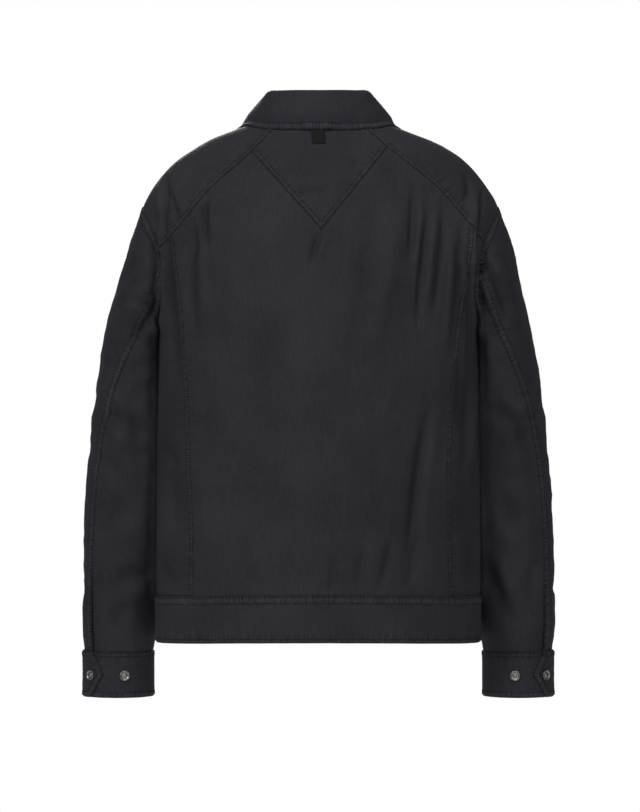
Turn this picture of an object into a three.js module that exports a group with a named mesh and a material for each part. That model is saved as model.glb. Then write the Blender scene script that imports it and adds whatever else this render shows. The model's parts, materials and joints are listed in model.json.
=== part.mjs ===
// Trucker jacket, filled out as on a wearer. Millimetres, +Z up.
// The wearer faces -Y and their left arm is at +X. Height 0 is where the shoulders meet the neck.

import * as THREE from 'three';

// Driving sizes
const SHELL_CLOTH = 1.5;
const YOKE_CLOTH = 1.9;
const BAND_CLOTH = 2.6;
const COLLAR_CLOTH = 2.3;
const TAB_CLOTH = 1.4;
const SEAM_GAP = 0.3;
const LAID_ON = 0.5;
const SHOULDER_TIP = -105;
const ARMPIT = -262;
const CUFF_SEAM = -680;
const CUFF_HEM = -737;
const SNAP_RADIUS = 6.5;
const SNAP_HEIGHT = 2.6;
const PLACKET_HALF = 20;
const TAB_HALF = 8.6;
const TAB_MIDDLE = 2.1;
const TAB_TOP = -7;
const TAB_LENGTH = 22;
const BAND_PROUD = 1;
const BAND_UNDERLAP = 16;
const BAND_CLIMB_FROM = 46;
const BAND_CLIMB_TO = 24;
const BAND_PARTS = 52;
const BODY_SQUARENESS = 2.2;
const SLEEVE_SQUARENESS = 2.1;
// The jacket hangs over by this much at the shoulders, and the neck takes most of it back
const SHOULDER_SHIFT = 2.8;
const SHIFT_FROM = 35;
const NECK_HOLD_FROM = -30;
const NECK_HOLD = 0.8;

// Segments along each seam, shared by the two pieces that it joins
const YOKE_EDGE = 8;
const YOKE_TOP = 3;
const YOKE_END = 3;
const ARMHOLE_LOWER = 7;
const ARMHOLE_UPPER = 10;
const NECK_BACK = YOKE_EDGE - YOKE_TOP;
const NECK_FRONT = 5;
const BODY_ROWS = 17;
const SLEEVE_ROWS = 18;
const UNDER_SLEEVE_HALF = 5;

// A net is eased as if a radian round the body and a step between rings were these lengths
const ROUND_SCALE = 170;
const RING_SCALE = 35;
const EASE_ROUNDS = 150;
const SOLVE_HALVINGS = 40;

const DEGREE = Math.PI / 180;
const UP = new THREE.Vector3(0, 0, 1);

// Rings of the body from hem to neck. side, back and front are heights at the side, centre back and
// centre front; half is half the width; rear, fore and ridge are Y at the back, front and side.
const BODY = readTable(['side', 'half', 'back', 'rear', 'front', 'fore', 'ridge'], [
  [-663, 208.8, -658, 121, -660, -123, 0],
  [-605.5, 209.3, -599.5, 127, -602, -129, 0],
  [-545, 209.5, -541, 130, -543, -132, 0],
  [-465, 209, -465, 131, -465, -134, 0],
  [-385, 208.5, -385, 132, -385, -135, 0],
  [-315, 208.5, -315, 132, -315, -136, 0],
  [ARMPIT, 209.5, -263, 130, -264, -135, 0],
  [-215, 214, -219, 126, -223, -131, -1],
  [-172, 223, -181, 120, -190, -125, -2],
  [-136, 229.5, -150, 113, -164, -117, -3],
  [-107, 229.5, -125, 106, -143, -109, -5],
  [-84, 217.5, -103, 99, -126, -102, -6],
  [-63, 202, -82, 92, -111, -95, -7],
  [-45, 184, -62, 84, -98, -90, -8],
  [-29, 160, -43, 76, -87, -86, -9],
  [-15, 133.5, -26, 67, -77, -82, -10],
  [-5, 106, -10, 58, -69, -79, -11],
  [8, 74, 8, 49, -62, -75, -12],
]);
const HEM_LEVEL = 0;
const WAIST_LEVEL = 1;
const NECK_LEVEL = BODY.rows - 1;

// The armhole, round from the shoulder by the back, the armpit and the front:
// degrees from centre back and height
const ARMHOLE = readTable(['degrees', 'height'], [
  [90, SHOULDER_TIP], [75, -118], [66.8, -143], [63, -165], [62, -192], [65, -222], [76, -250], [93, ARMPIT],
  [110, -250], [118, -222], [120.5, -190], [116, -154], [105, -120], [90, SHOULDER_TIP],
]);
const ARMPIT_KNOT = 7;

// Seams of the back as they lie: across from the centre, and height
const BACK_SEAMS = {
  left: {
    yokeCorner: [87.3, -39],
    yokeSeam: [[118, -66.5], [141, -87], [162.5, -113.5], [187, -145]],
    yokeSeamEnd: -164,
    sideBack: [[177.5, -200], [170, -275], [164, -350], [162, -425], [157.5, -500], [157.5, -600]],
  },
  right: {
    yokeCorner: [84.8, -33],
    yokeSeam: [[122.5, -62.5], [157, -92], [187.5, -131]],
    yokeSeamEnd: -154,
    sideBack: [[184, -200], [174, -278], [166.5, -352], [162, -430], [162.5, -510], [165.5, -600]],
  },
};
const YOKE_TIP = [-1.4, -139.5];
const YOKE_NECK = 44;
// The front yoke seam: degrees from centre back at the neck, and its heights along the way
const FRONT_YOKE = readTable(['degrees', 'height'], [[128, -38], [131, -70], [127, -112], [119.5, -176]]);

// Sleeve rings from armhole to cuff seam: where the outer and inner lines run, half the depth, its
// centre, and how far round from the outer line the back seam lies
const SLEEVE = readTable(
  ['outerX', 'outerZ', 'innerX', 'innerZ', 'depth', 'centre', 'backSeam', 'frontSeam'],
  [
    [229, SHOULDER_TIP, 209.5, ARMPIT, 66, -5, 122, 238],
    [237.5, -124, 212, -268, 67, -8, 122, 238],
    [246.5, -150, 212, -275, 67, -13, 119, 238],
    [255.5, -187, 210, -285, 66, -19, 111, 237],
    [265.5, -225, 206, -299, 65, -26, 99, 236],
    [276, -266, 202, -320, 64, -32, 88, 235],
    [286, -315, 200, -352, 62, -38, 73, 234],
    [292.5, -365, 199, -392, 60, -43, 60, 233],
    [298, -415, 199, -435, 58, -47, 52, 232],
    [302, -465, 200, -480, 56, -50, 48, 231],
    [304.8, -520, 201, -530, 54, -53, 45.5, 230],
    [307.3, -578, 203, -583, 51, -55, 45, 230],
    [308, -630, 207, -632, 48, -57, 44, 230],
    [304.5, CUFF_SEAM, 214, CUFF_SEAM, 45, -58, 44, 230],
  ],
);
const CAP_RINGS = 5;
// Where the sleeve lies beside the body it keeps this far off, and bends round it over the ease
const BESIDE_FROM = 12;
const BESIDE_EASE = 4;
const BESIDE_MOST = 3;
// How alike the sleeve's and the body's normals are where they start to be shared, and where they are one
const SHARED_FROM = 0.3;
const SHARED_FULL = 0.8;
// The cuff slit opens round its top; its outer edge stands out and its inner edge drops in
const SLIT_TOP = -604;
const SLIT_EASE_ABOVE = 30;
const SLIT_EASE_BELOW = 25;
const SLIT_OUT = 1.2;
const SLIT_IN = 2.4;

// The largest folds of the body, each a line on the back from start to end:
// across and height of both ends, half its width and how far it stands out
const BACK_FOLDS = [
  { from: [190, -65], to: [194, -225], half: 13, out: 3.5 },
  { from: [162, -110], to: [158, -290], half: 16, out: -4 },
  { from: [-121, -60], to: [-123, -300], half: 17, out: -3.5 },
  { from: [-157, -85], to: [-147, -250], half: 15, out: -3 },
  { from: [-136, -380], to: [-106, -600], half: 20, out: -3 },
  { from: [-192, -80], to: [-196, -210], half: 13, out: 3.5 },
];

// Collar by degrees from centre back: height of the stand, its lean, and how far down the body's
// rings the free edge of the fall lies, and how far it stands off the body
const COLLAR = readTable(['stand', 'lean', 'reach', 'lift'], [
  [30.3, 4, 1.0, 2.8],
  [31.2, 7.5, 0.95, 1.5],
  [32, 13, 0.72, 1.1],
  [28.5, 11, 1.9, 1.5],
  [27, 5, 3.9, 1.8],
]);
const COLLAR_END = 176;
const COLLAR_POINT = 161;
const FOLD_ROLL = 7;
const FOLD_RISE = 3;
const FOLD_GAP = 0.7;
const FOLD_TURN = 0.25;
// How upright the cloth's outer side is where it rolls over, and on the fall
const ROLL_ROWS = 2;
const ROLL_UPRIGHT = 2;
const FALL_UPRIGHT = 0.6;
// Rows of the fall from fold to free edge, closer where it rolls over
const FALL_ROWS = [0, 0.05, 0.14, 0.27, 0.45, 0.72, 1];

// Cuffs, in degrees round the wrist from its outer line towards the back
const CUFF_LAP_START = 18;
const CUFF_CLIMB_FROM = 340;
const CUFF_CLIMB_TO = 375;
const CUFF_TOP_CORNER = 47;
const CUFF_LOW_CORNER = 41;
const CUFF_TIP = 65;
const CUFF_POINT_FROM = 0.86;
const CUFF_TAB_SNAP = 44.8;
const CUFF_STUD = { left: 101.5, right: 96.5 };
const CUFF_SNAP_DROP = 1;
const CUFF_PARTS = 34;

const FRONT_SNAP_TOP = -92;
const FRONT_SNAP_STEP = 95;
const FRONT_SNAPS = 6;
// A snap from its foot to its top: radius and height
const SNAP_PROFILE = [
  [0, 0], [SNAP_RADIUS, 0.4], [SNAP_RADIUS - 0.8, 2], [SNAP_RADIUS - 2.2, 1.3],
  [2.2, SNAP_HEIGHT - 0.3], [0, SNAP_HEIGHT],
];
const SNAP_SIDES = 12;

const cloth = new THREE.MeshStandardMaterial({ color: 0x2f2e33, roughness: 0.82, metalness: 0 });
const snapMetal = new THREE.MeshStandardMaterial({ color: 0x55545a, roughness: 0.38, metalness: 0.9 });
const tabCloth = new THREE.MeshStandardMaterial({ color: 0x0d0d10, roughness: 0.9, metalness: 0 });

const jacket = new THREE.Group();

// ---- tables and curves ----

// Reads rows as smooth functions of the row number, one for each named column
function readTable(names, rows) {
  const table = { rows: rows.length };
  names.forEach((name, column) => {
    const values = rows.map((row) => row[column]);
    table[name] = (t) => smoothThrough(values, t);
  });
  return table;
}

function smoothThrough(values, t) {
  const last = values.length - 1;
  const i = Math.min(Math.max(Math.floor(t), 0), last - 1);
  const f = t - i;
  const b = values[i];
  const c = values[i + 1];
  const a = i > 0 ? values[i - 1] : 2 * b - c;
  const d = i + 2 <= last ? values[i + 2] : 2 * c - b;
  return b + 0.5 * f * (c - a + f * (2 * a - 5 * b + 4 * c - d + f * (3 * (b - c) + d - a)));
}

function smoothStep(from, to, x) {
  return THREE.MathUtils.smoothstep(x, from, to);
}

function steps(count) {
  return Array.from({ length: count + 1 }, (_, i) => i / count);
}

// The value between low and high where a rising function reaches a target
function solve(rising, target, low, high) {
  for (let i = 0; i < SOLVE_HALVINGS; i += 1) {
    const middle = (low + high) / 2;
    if (rising(middle) > target) high = middle;
    else low = middle;
  }
  return (low + high) / 2;
}

// ---- the body's surface ----

// A point by angle from centre back, towards the wearer's left, and by ring
function bodyPoint(angle, level) {
  const s = Math.sin(angle);
  const c = Math.cos(angle);
  const power = 2 / BODY_SQUARENESS;
  const ridge = BODY.ridge(level);
  const face = c >= 0 ? BODY.rear(level) : BODY.fore(level);
  const height = c >= 0 ? BODY.back(level) : BODY.front(level);
  const side = BODY.side(level);
  return new THREE.Vector3(
    BODY.half(level) * Math.sign(s) * Math.abs(s) ** power,
    ridge + (face - ridge) * Math.abs(c) ** power,
    side + (height - side) * c * c,
  );
}

function bodyNormal(angle, level) {
  const da = 0.004;
  const dl = 0.02;
  const l0 = Math.max(level - dl, 0);
  const l1 = Math.min(level + dl, NECK_LEVEL);
  const round = bodyPoint(angle + da, level).sub(bodyPoint(angle - da, level));
  const rise = bodyPoint(angle, l1).sub(bodyPoint(angle, l0));
  return rise.cross(round).normalize();
}

// How far the folds move the back out at a point
function foldOut(point) {
  if (point.y < 0) return 0;
  const here = new THREE.Vector2(point.x, point.z);
  return BACK_FOLDS.reduce((sum, fold) => {
    const start = new THREE.Vector2(...fold.from);
    const line = new THREE.Vector2(...fold.to).sub(start);
    const along = here.clone().sub(start).dot(line) / line.lengthSq();
    if (along <= 0 || along >= 1) return sum;
    const off = here.distanceTo(start.addScaledVector(line, along)) / fold.half;
    return sum + fold.out * Math.exp(-off * off) * Math.sin(Math.PI * along);
  }, 0);
}

function clothPoint(angle, level, out = 0) {
  const point = bodyPoint(angle, level);
  return point.addScaledVector(bodyNormal(angle, level), foldOut(point) + out);
}

// The ring on which the body has a height at an angle
function levelAt(angle, height) {
  return solve((level) => bodyPoint(angle, level).z, height, 0, NECK_LEVEL);
}

function angleAcross(across, level) {
  const share = Math.min(Math.abs(across) / BODY.half(level), 1);
  return Math.sign(across) * Math.asin(share ** (BODY_SQUARENESS / 2));
}

// Angle and ring of a point on the back from its place across and its height
function onBack([across, height]) {
  const rise = (level) => {
    if (BODY.half(level) < Math.abs(across)) return Infinity;
    return bodyPoint(angleAcross(across, level), level).z;
  };
  const level = solve(rise, height, 0, NECK_LEVEL);
  return [angleAcross(across, level), level];
}

// A smooth line on the back through places, in even parts
function lineOnBack(places, parts) {
  const line = readTable(['across', 'height'], places);
  const spans = places.length - 1;
  return steps(parts).map((t) => onBack([line.across(t * spans), line.height(t * spans)]));
}

// ---- sheets of cloth ----

// A net between four edges, each a list of [angle, ring]; top and bottom run alike, left and right too
function fillNet(top, bottom, left, right) {
  const mix = (a, b, t) => a + (b - a) * t;
  const net = left.map((_, i) => top.map((__, j) => {
    const v = i / (left.length - 1);
    const u = j / (top.length - 1);
    return [0, 1].map((k) => {
      const topCorners = mix(top[0][k], top.at(-1)[k], u);
      const bottomCorners = mix(bottom[0][k], bottom.at(-1)[k], u);
      const across = mix(top[j][k], bottom[j][k], v);
      const down = mix(left[i][k], right[i][k], u);
      return across + down - mix(topCorners, bottomCorners, v);
    });
  }));
  for (let round = 0; round < EASE_ROUNDS; round += 1) easeNet(net);
  return net;
}

// Moves the inner places of a net so that its lines keep clear of each other and of hollow edges
function easeNet(net) {
  const scale = [ROUND_SCALE, RING_SCALE];
  for (let i = 1; i < net.length - 1; i += 1) {
    for (let j = 1; j < net[0].length - 1; j += 1) {
      const down = [0, 1].map((k) => (net[i + 1][j][k] - net[i - 1][j][k]) * scale[k] * 0.5);
      const across = [0, 1].map((k) => (net[i][j + 1][k] - net[i][j - 1][k]) * scale[k] * 0.5);
      const pullDown = across[0] ** 2 + across[1] ** 2;
      const pullAcross = down[0] ** 2 + down[1] ** 2;
      const skew = down[0] * across[0] + down[1] * across[1];
      net[i][j] = [0, 1].map((k) => {
        const corners = net[i + 1][j + 1][k] - net[i - 1][j + 1][k]
          - net[i + 1][j - 1][k] + net[i - 1][j - 1][k];
        const sum = pullDown * (net[i + 1][j][k] + net[i - 1][j][k])
          + pullAcross * (net[i][j + 1][k] + net[i][j - 1][k]) - 0.5 * skew * corners;
        return sum / (2 * (pullDown + pullAcross));
      });
    }
  }
}

// Moves the rim of a net of points into the piece, along the cloth and square to the rim
function drawInRim(points, normals, distance) {
  const rows = points.length - 1;
  const columns = points[0].length - 1;
  const moves = [];
  const addMove = (i, j, di, dj, ti, tj) => {
    const before = points[Math.max(i - ti, 0)][Math.max(j - tj, 0)];
    const after = points[Math.min(i + ti, rows)][Math.min(j + tj, columns)];
    const along = after.clone().sub(before).normalize();
    const inward = points[i + di][j + dj].clone().sub(points[i][j]);
    inward.addScaledVector(along, -inward.dot(along));
    inward.addScaledVector(normals[i][j], -inward.dot(normals[i][j]));
    moves.push([points[i][j], inward.setLength(distance)]);
  };
  for (let j = 0; j <= columns; j += 1) {
    addMove(0, j, 1, 0, 0, 1);
    addMove(rows, j, -1, 0, 0, 1);
  }
  for (let i = 0; i <= rows; i += 1) {
    addMove(i, 0, 0, 1, 1, 0);
    addMove(i, columns, 0, -1, 1, 0);
  }
  moves.forEach(([point, move]) => point.add(move));
}

// Normals of a net of points, outward on the side that the hint points to
function netNormals(points, hint, wraps = false) {
  const rows = points.length - 1;
  const columns = points[0].length - (wraps ? 0 : 1);
  const at = (i, j) => {
    const column = wraps ? (j + columns) % columns : Math.min(Math.max(j, 0), columns);
    return points[Math.min(Math.max(i, 0), rows)][column];
  };
  return points.map((row, i) => row.map((point, j) => {
    const down = at(i + 1, j).clone().sub(at(i - 1, j));
    const across = at(i, j + 1).clone().sub(at(i, j - 1));
    const normal = down.cross(across).normalize();
    return normal.dot(hint(point, i)) < 0 ? normal.negate() : normal;
  }));
}

// How far the jacket hangs over to the wearer's right at a height: most at the shoulders
function hangOver(height) {
  const shoulders = smoothStep(ARMPIT, SHOULDER_TIP - SHIFT_FROM, height);
  const neck = smoothStep(NECK_HOLD_FROM, 0, height);
  return -SHOULDER_SHIFT * (shoulders - NECK_HOLD * neck);
}

// Adds a closed wall between a net of outer points and the same net moved in by the thickness
function addWall(name, outer, normals, thickness, material = cloth) {
  const rows = outer.length;
  const columns = outer[0].length;
  const inner = outer.map((row, i) => row.map((point, j) => (
    point.clone().addScaledVector(normals[i][j], -thickness)
  )));
  const positions = [...outer.flat(), ...inner.flat()]
    .flatMap((point) => [point.x + hangOver(point.z), point.y, point.z]);
  const outside = (i, j) => i * columns + j;
  const inside = (i, j) => (rows + i) * columns + j;
  const cell = outer[1][0].clone().sub(outer[0][0]).cross(outer[0][1].clone().sub(outer[0][0]));
  const flip = cell.dot(normals[0][0]) < 0;
  const index = [];
  const addQuad = (a, b, c, d) => index.push(...(flip ? [a, c, b, a, d, c] : [a, b, c, a, c, d]));
  for (let i = 0; i < rows - 1; i += 1) {
    for (let j = 0; j < columns - 1; j += 1) {
      addQuad(outside(i, j), outside(i + 1, j), outside(i + 1, j + 1), outside(i, j + 1));
      addQuad(inside(i, j), inside(i, j + 1), inside(i + 1, j + 1), inside(i + 1, j));
    }
    addQuad(outside(i, 0), inside(i, 0), inside(i + 1, 0), outside(i + 1, 0));
    const last = columns - 1;
    addQuad(outside(i + 1, last), inside(i + 1, last), inside(i, last), outside(i, last));
  }
  for (let j = 0; j < columns - 1; j += 1) {
    addQuad(outside(0, j + 1), inside(0, j + 1), inside(0, j), outside(0, j));
    addQuad(outside(rows - 1, j), inside(rows - 1, j), inside(rows - 1, j + 1), outside(rows - 1, j + 1));
  }
  const geometry = new THREE.BufferGeometry();
  geometry.setAttribute('position', new THREE.Float32BufferAttribute(positions, 3));
  geometry.setIndex(index);
  addMesh(name, geometry, material);
}

function addMesh(name, geometry, material) {
  geometry.computeVertexNormals();
  const mesh = new THREE.Mesh(geometry, material);
  mesh.name = name;
  jacket.add(mesh);
  return mesh;
}

// Adds a piece that lies on the body's surface, from a net of [angle, ring]
function addBodyPiece(name, net, thickness, out = 0, material = cloth) {
  const points = net.map((row) => row.map(([angle, level]) => clothPoint(angle, level, out)));
  const normals = net.map((row) => row.map(([angle, level]) => bodyNormal(angle, level)));
  drawInRim(points, normals, SEAM_GAP / 2);
  addWall(name, points, normals, thickness, material);
}

// ---- seams that two pieces share, for one side of the jacket ----

function armholeLine(from, to, parts) {
  return steps(parts).map((t) => {
    const knot = from + (to - from) * t;
    const angle = ARMHOLE.degrees(knot) * DEGREE;
    return [angle, levelAt(angle, ARMHOLE.height(knot))];
  });
}

function neckLine(fromAngle, toAngle, parts) {
  return steps(parts).map((t) => [fromAngle + (toAngle - fromAngle) * t, NECK_LEVEL]);
}

// A line from a place straight down to the waist seam
function downToWaist([angle, level], parts) {
  return steps(parts).map((t) => [angle, THREE.MathUtils.lerp(level, WAIST_LEVEL, t)]);
}

// All the seams of one side, drawn for the wearer's left
function drawSeams(places, tip) {
  const neckAngle = angleAcross(YOKE_NECK, NECK_LEVEL);
  const neckPlace = [YOKE_NECK, bodyPoint(neckAngle, NECK_LEVEL).z];
  const backKnot = solve((knot) => -ARMHOLE.height(knot), -places.yokeSeamEnd, 1, ARMPIT_KNOT);
  const frontEnd = FRONT_YOKE.rows - 1;
  const frontKnot = solve(ARMHOLE.height, FRONT_YOKE.height(frontEnd), ARMPIT_KNOT, ARMHOLE.rows - 2);
  const armholeBack = armholeLine(backKnot, ARMPIT_KNOT, ARMHOLE_LOWER);
  const armholeFront = armholeLine(frontKnot, ARMPIT_KNOT, ARMHOLE_LOWER);
  const backUpper = armholeLine(0, backKnot, ARMHOLE_UPPER / 2).reverse();
  const frontUpper = armholeLine(ARMHOLE.rows - 1, frontKnot, ARMHOLE_UPPER / 2);
  const frontNeckAngle = FRONT_YOKE.degrees(0) * DEGREE;
  const yokeTopSeam = lineOnBack([neckPlace, places.yokeCorner], YOKE_TOP);
  const yokeSeam = lineOnBack([places.yokeCorner, ...places.yokeSeam], YOKE_EDGE);
  const corner = places.yokeSeam.at(-1);
  const seamParts = YOKE_TOP + YOKE_EDGE + YOKE_END;
  const sideBack = lineOnBack([corner, ...places.sideBack], BODY_ROWS);
  yokeTopSeam[0] = [neckAngle, NECK_LEVEL];
  sideBack.at(-1)[1] = WAIST_LEVEL;
  return {
    yokeTopSeam,
    yokeSeam,
    yokeEnd: steps(YOKE_END).map((t) => [
      THREE.MathUtils.lerp(yokeSeam.at(-1)[0], armholeBack[0][0], t),
      THREE.MathUtils.lerp(yokeSeam.at(-1)[1], armholeBack[0][1], t),
    ]),
    tipSeam: lineOnBack([places.yokeCorner, tip], YOKE_EDGE),
    sideBack,
    armholeBack,
    armholeFront,
    armholeUpper: [...backUpper, ...frontUpper.slice(1)],
    neckBack: neckLine(0, neckAngle, NECK_BACK),
    neckSide: neckLine(neckAngle, frontNeckAngle, ARMHOLE_UPPER),
    neckFront: neckLine(frontNeckAngle, Math.PI, NECK_FRONT),
    frontYoke: steps(seamParts).map((t) => {
      const angle = FRONT_YOKE.degrees(frontEnd * t) * DEGREE;
      if (t === 0) return [angle, NECK_LEVEL];
      if (t === 1) return armholeFront[0];
      return [angle, levelAt(angle, FRONT_YOKE.height(frontEnd * t))];
    }),
    side: downToWaist(armholeBack.at(-1), BODY_ROWS - ARMHOLE_LOWER),
  };
}

const centreFront = downToWaist([Math.PI, NECK_LEVEL], BODY_ROWS);

function mirrored(line) {
  return line.map(([angle, level]) => [-angle, level]);
}

function waistLine(fromAngle, toAngle, parts) {
  return steps(parts).map((t) => [THREE.MathUtils.lerp(fromAngle, toAngle, t), WAIST_LEVEL]);
}

// ---- body pieces ----

function addBodySide(sideName, seams, sign) {
  const turn = (line) => (sign < 0 ? mirrored(line) : line);
  const addPiece = (name, top, bottom, left, right, thickness) => {
    addBodyPiece(`${name}_${sideName}`, fillNet(turn(top), turn(bottom), turn(left), turn(right)), thickness);
  };
  const backYokeSeam = [...seams.yokeTopSeam, ...seams.yokeSeam.slice(1), ...seams.yokeEnd.slice(1)];
  addPiece(
    'shoulder_yoke',
    backYokeSeam,
    seams.frontYoke,
    seams.neckSide,
    seams.armholeUpper,
    YOKE_CLOTH,
  );
  const armpitAngle = seams.side[0][0];
  const backBottom = waistLine(seams.sideBack.at(-1)[0], armpitAngle, YOKE_END);
  const backEdge = [...seams.armholeBack, ...seams.side.slice(1)];
  addPiece('back_side', seams.yokeEnd, backBottom, seams.sideBack, backEdge, SHELL_CLOTH);

  const frontTop = [...seams.neckFront.slice().reverse(), ...seams.frontYoke.slice(1)];
  const frontBottom = waistLine(Math.PI, armpitAngle, frontTop.length - 1);
  const frontEdge = [...seams.armholeFront, ...seams.side.slice(1)];
  addPiece('front', frontTop, frontBottom, centreFront, frontEdge, SHELL_CLOTH);
}

function addBack(left, right) {
  const leftTop = [...left.tipSeam.slice().reverse(), ...left.yokeSeam.slice(1)];
  const rightTop = mirrored([...right.yokeSeam.slice().reverse(), ...right.tipSeam.slice(1)]);
  const top = [...rightTop, ...leftTop.slice(1)];
  const rightEdge = mirrored(right.sideBack);
  const bottom = waistLine(rightEdge.at(-1)[0], left.sideBack.at(-1)[0], top.length - 1);
  addBodyPiece('back_panel', fillNet(top, bottom, rightEdge, left.sideBack), SHELL_CLOTH);

  const leftNeck = [...left.neckBack, ...left.yokeTopSeam.slice(1)];
  const rightNeck = mirrored([...right.neckBack, ...right.yokeTopSeam.slice(1)]);
  addBodyPiece(
    'back_yoke',
    fillNet(leftNeck, mirrored(right.tipSeam), rightNeck, left.tipSeam),
    YOKE_CLOTH,
  );
}

// The waistband, whose left end climbs over its right end at the front
function addWaistband() {
  const underEnd = -Math.PI - angleAcross(BAND_UNDERLAP, HEM_LEVEL);
  const overEnd = Math.PI + angleAcross(PLACKET_HALF, HEM_LEVEL);
  const climbFrom = Math.PI - angleAcross(BAND_CLIMB_FROM, HEM_LEVEL);
  const climbTo = Math.PI - angleAcross(BAND_CLIMB_TO, HEM_LEVEL);
  const turns = steps(BAND_PARTS).map((t) => THREE.MathUtils.lerp(underEnd, overEnd, t));
  const levels = [0, 0.2, 0.5, 0.8, 1].map((t) => THREE.MathUtils.lerp(WAIST_LEVEL, HEM_LEVEL, t));
  const proud = (turn) => BAND_PROUD + (BAND_CLOTH + SEAM_GAP) * smoothStep(climbFrom, climbTo, turn);
  const normals = levels.map((level) => turns.map((turn) => bodyNormal(turn, level)));
  const points = levels.map((level, i) => turns.map((turn, j) => (
    bodyPoint(turn, level).addScaledVector(normals[i][j], proud(turn))
  )));
  drawInRim(points, normals, SEAM_GAP);
  addWall('waistband', points, normals, BAND_CLOTH);
}

function addPlacket() {
  const net = centreFront.map(([, level]) => [-1, -0.5, 0, 0.5, 1].map((share) => [
    Math.PI - angleAcross(PLACKET_HALF * share, level),
    level,
  ]));
  addBodyPiece('front_placket', net, SHELL_CLOTH, SHELL_CLOTH + LAID_ON);
}

function addNeckTab() {
  const heights = steps(3).map((t) => TAB_TOP - TAB_LENGTH * t);
  const net = heights.map((height) => (
    [-TAB_HALF, 0, TAB_HALF].map((across) => onBack([TAB_MIDDLE + across, height]))
  ));
  addBodyPiece('neck_tab', net, TAB_CLOTH, TAB_CLOTH + LAID_ON, tabCloth);
}

// ---- collar ----

function collarAngles(seams) {
  const half = [...seams.neckBack, ...seams.neckSide.slice(1), ...seams.neckFront.slice(1)]
    .map(([angle]) => Math.min(angle, COLLAR_END * DEGREE));
  return [...half.slice(1).reverse().map((angle) => -angle), ...half];
}

function collarRow(angle) {
  return (Math.abs(angle) / (COLLAR_END * DEGREE)) * (COLLAR.rows - 1);
}

function outwardAt(angle) {
  return bodyNormal(angle, NECK_LEVEL).setZ(0).normalize();
}

function standPoint(angle, share) {
  const row = collarRow(angle);
  const root = bodyPoint(angle, NECK_LEVEL);
  root.z += 2 * SEAM_GAP + (COLLAR.stand(row) - 2 * SEAM_GAP) * share;
  return root.addScaledVector(outwardAt(angle), -COLLAR.lean(row) * share);
}

// How much longer a rise is along Z than square to the stand's sloping top
function standRise(angle) {
  const step = 0.02;
  const run = standPoint(angle + step, 1).sub(standPoint(angle - step, 1));
  return run.length() / Math.hypot(run.x, run.y);
}

function addCollar(seams) {
  const angles = collarAngles(seams);
  const standRows = steps(3).map((share) => angles.map((angle) => standPoint(angle, share)));
  const outward = (point) => new THREE.Vector3(point.x, point.y - BODY.ridge(NECK_LEVEL), 0);
  addWall('collar_stand', standRows, netNormals(standRows, outward), COLLAR_CLOTH);

  const fallRows = FALL_ROWS.map((share) => angles.map((angle) => {
    const row = collarRow(angle);
    const edgeAngle = (angle * COLLAR_POINT) / COLLAR_END;
    const crest = standPoint(angle, 1).addScaledVector(outwardAt(angle), -COLLAR_CLOTH);
    crest.z += (FOLD_GAP + COLLAR_CLOTH) * standRise(angle);
    const level = NECK_LEVEL - COLLAR.reach(row);
    const edge = bodyPoint(edgeAngle, level)
      .addScaledVector(bodyNormal(edgeAngle, level), COLLAR.lift(row) + COLLAR_CLOTH);
    const roll = crest.clone().addScaledVector(outwardAt(angle), FOLD_ROLL).addScaledVector(UP, FOLD_RISE);
    const turn = crest.clone().addScaledVector(outwardAt(angle), 2 * FOLD_ROLL);
    turn.lerp(edge, FOLD_TURN);
    return new THREE.CubicBezierCurve3(crest, roll, turn, edge).getPoint(share);
  }));
  const rising = (point, i) => (
    outward(point).normalize().addScaledVector(UP, i < ROLL_ROWS ? ROLL_UPRIGHT : FALL_UPRIGHT)
  );
  addWall('collar_fall', fallRows, netNormals(fallRows, rising), COLLAR_CLOTH);
}

// ---- sleeves ----

// A ring of the sleeve, round from its outer line by the back
function sleeveRingPoint(ring, angle) {
  const outer = new THREE.Vector3(SLEEVE.outerX(ring), SLEEVE.centre(ring), SLEEVE.outerZ(ring));
  const inner = new THREE.Vector3(SLEEVE.innerX(ring), SLEEVE.centre(ring), SLEEVE.innerZ(ring));
  const middle = outer.clone().add(inner).multiplyScalar(0.5);
  const power = 2 / SLEEVE_SQUARENESS;
  const c = Math.cos(angle);
  const s = Math.sin(angle);
  const across = outer.sub(middle).multiplyScalar(Math.sign(c) * Math.abs(c) ** power);
  const point = middle.add(across);
  point.y += SLEEVE.depth(ring) * Math.sign(s) * Math.abs(s) ** power;
  return point;
}

// Half the body's width at a depth and height below the armpit
function bodyHalfAt(y, z) {
  const level = solve(BODY.side, Math.min(z, ARMPIT), 0, NECK_LEVEL);
  const face = y >= 0 ? BODY.rear(level) : -BODY.fore(level);
  const share = Math.min(Math.abs(y) / face, 1);
  return BODY.half(level) * (1 - share ** BODY_SQUARENESS) ** (1 / BODY_SQUARENESS);
}

// Keeps a sleeve point beside the body, eased so that the cloth bends round it
function besideBody(point, clearance) {
  if (point.z > ARMPIT + BESIDE_FROM) return point;
  const wall = bodyHalfAt(point.y, point.z) + clearance;
  const gap = point.x - wall;
  if (gap < -BESIDE_EASE) point.x = wall;
  else if (gap < BESIDE_EASE) point.x = wall + (gap + BESIDE_EASE) ** 2 / (4 * BESIDE_EASE);
  return point;
}

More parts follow.
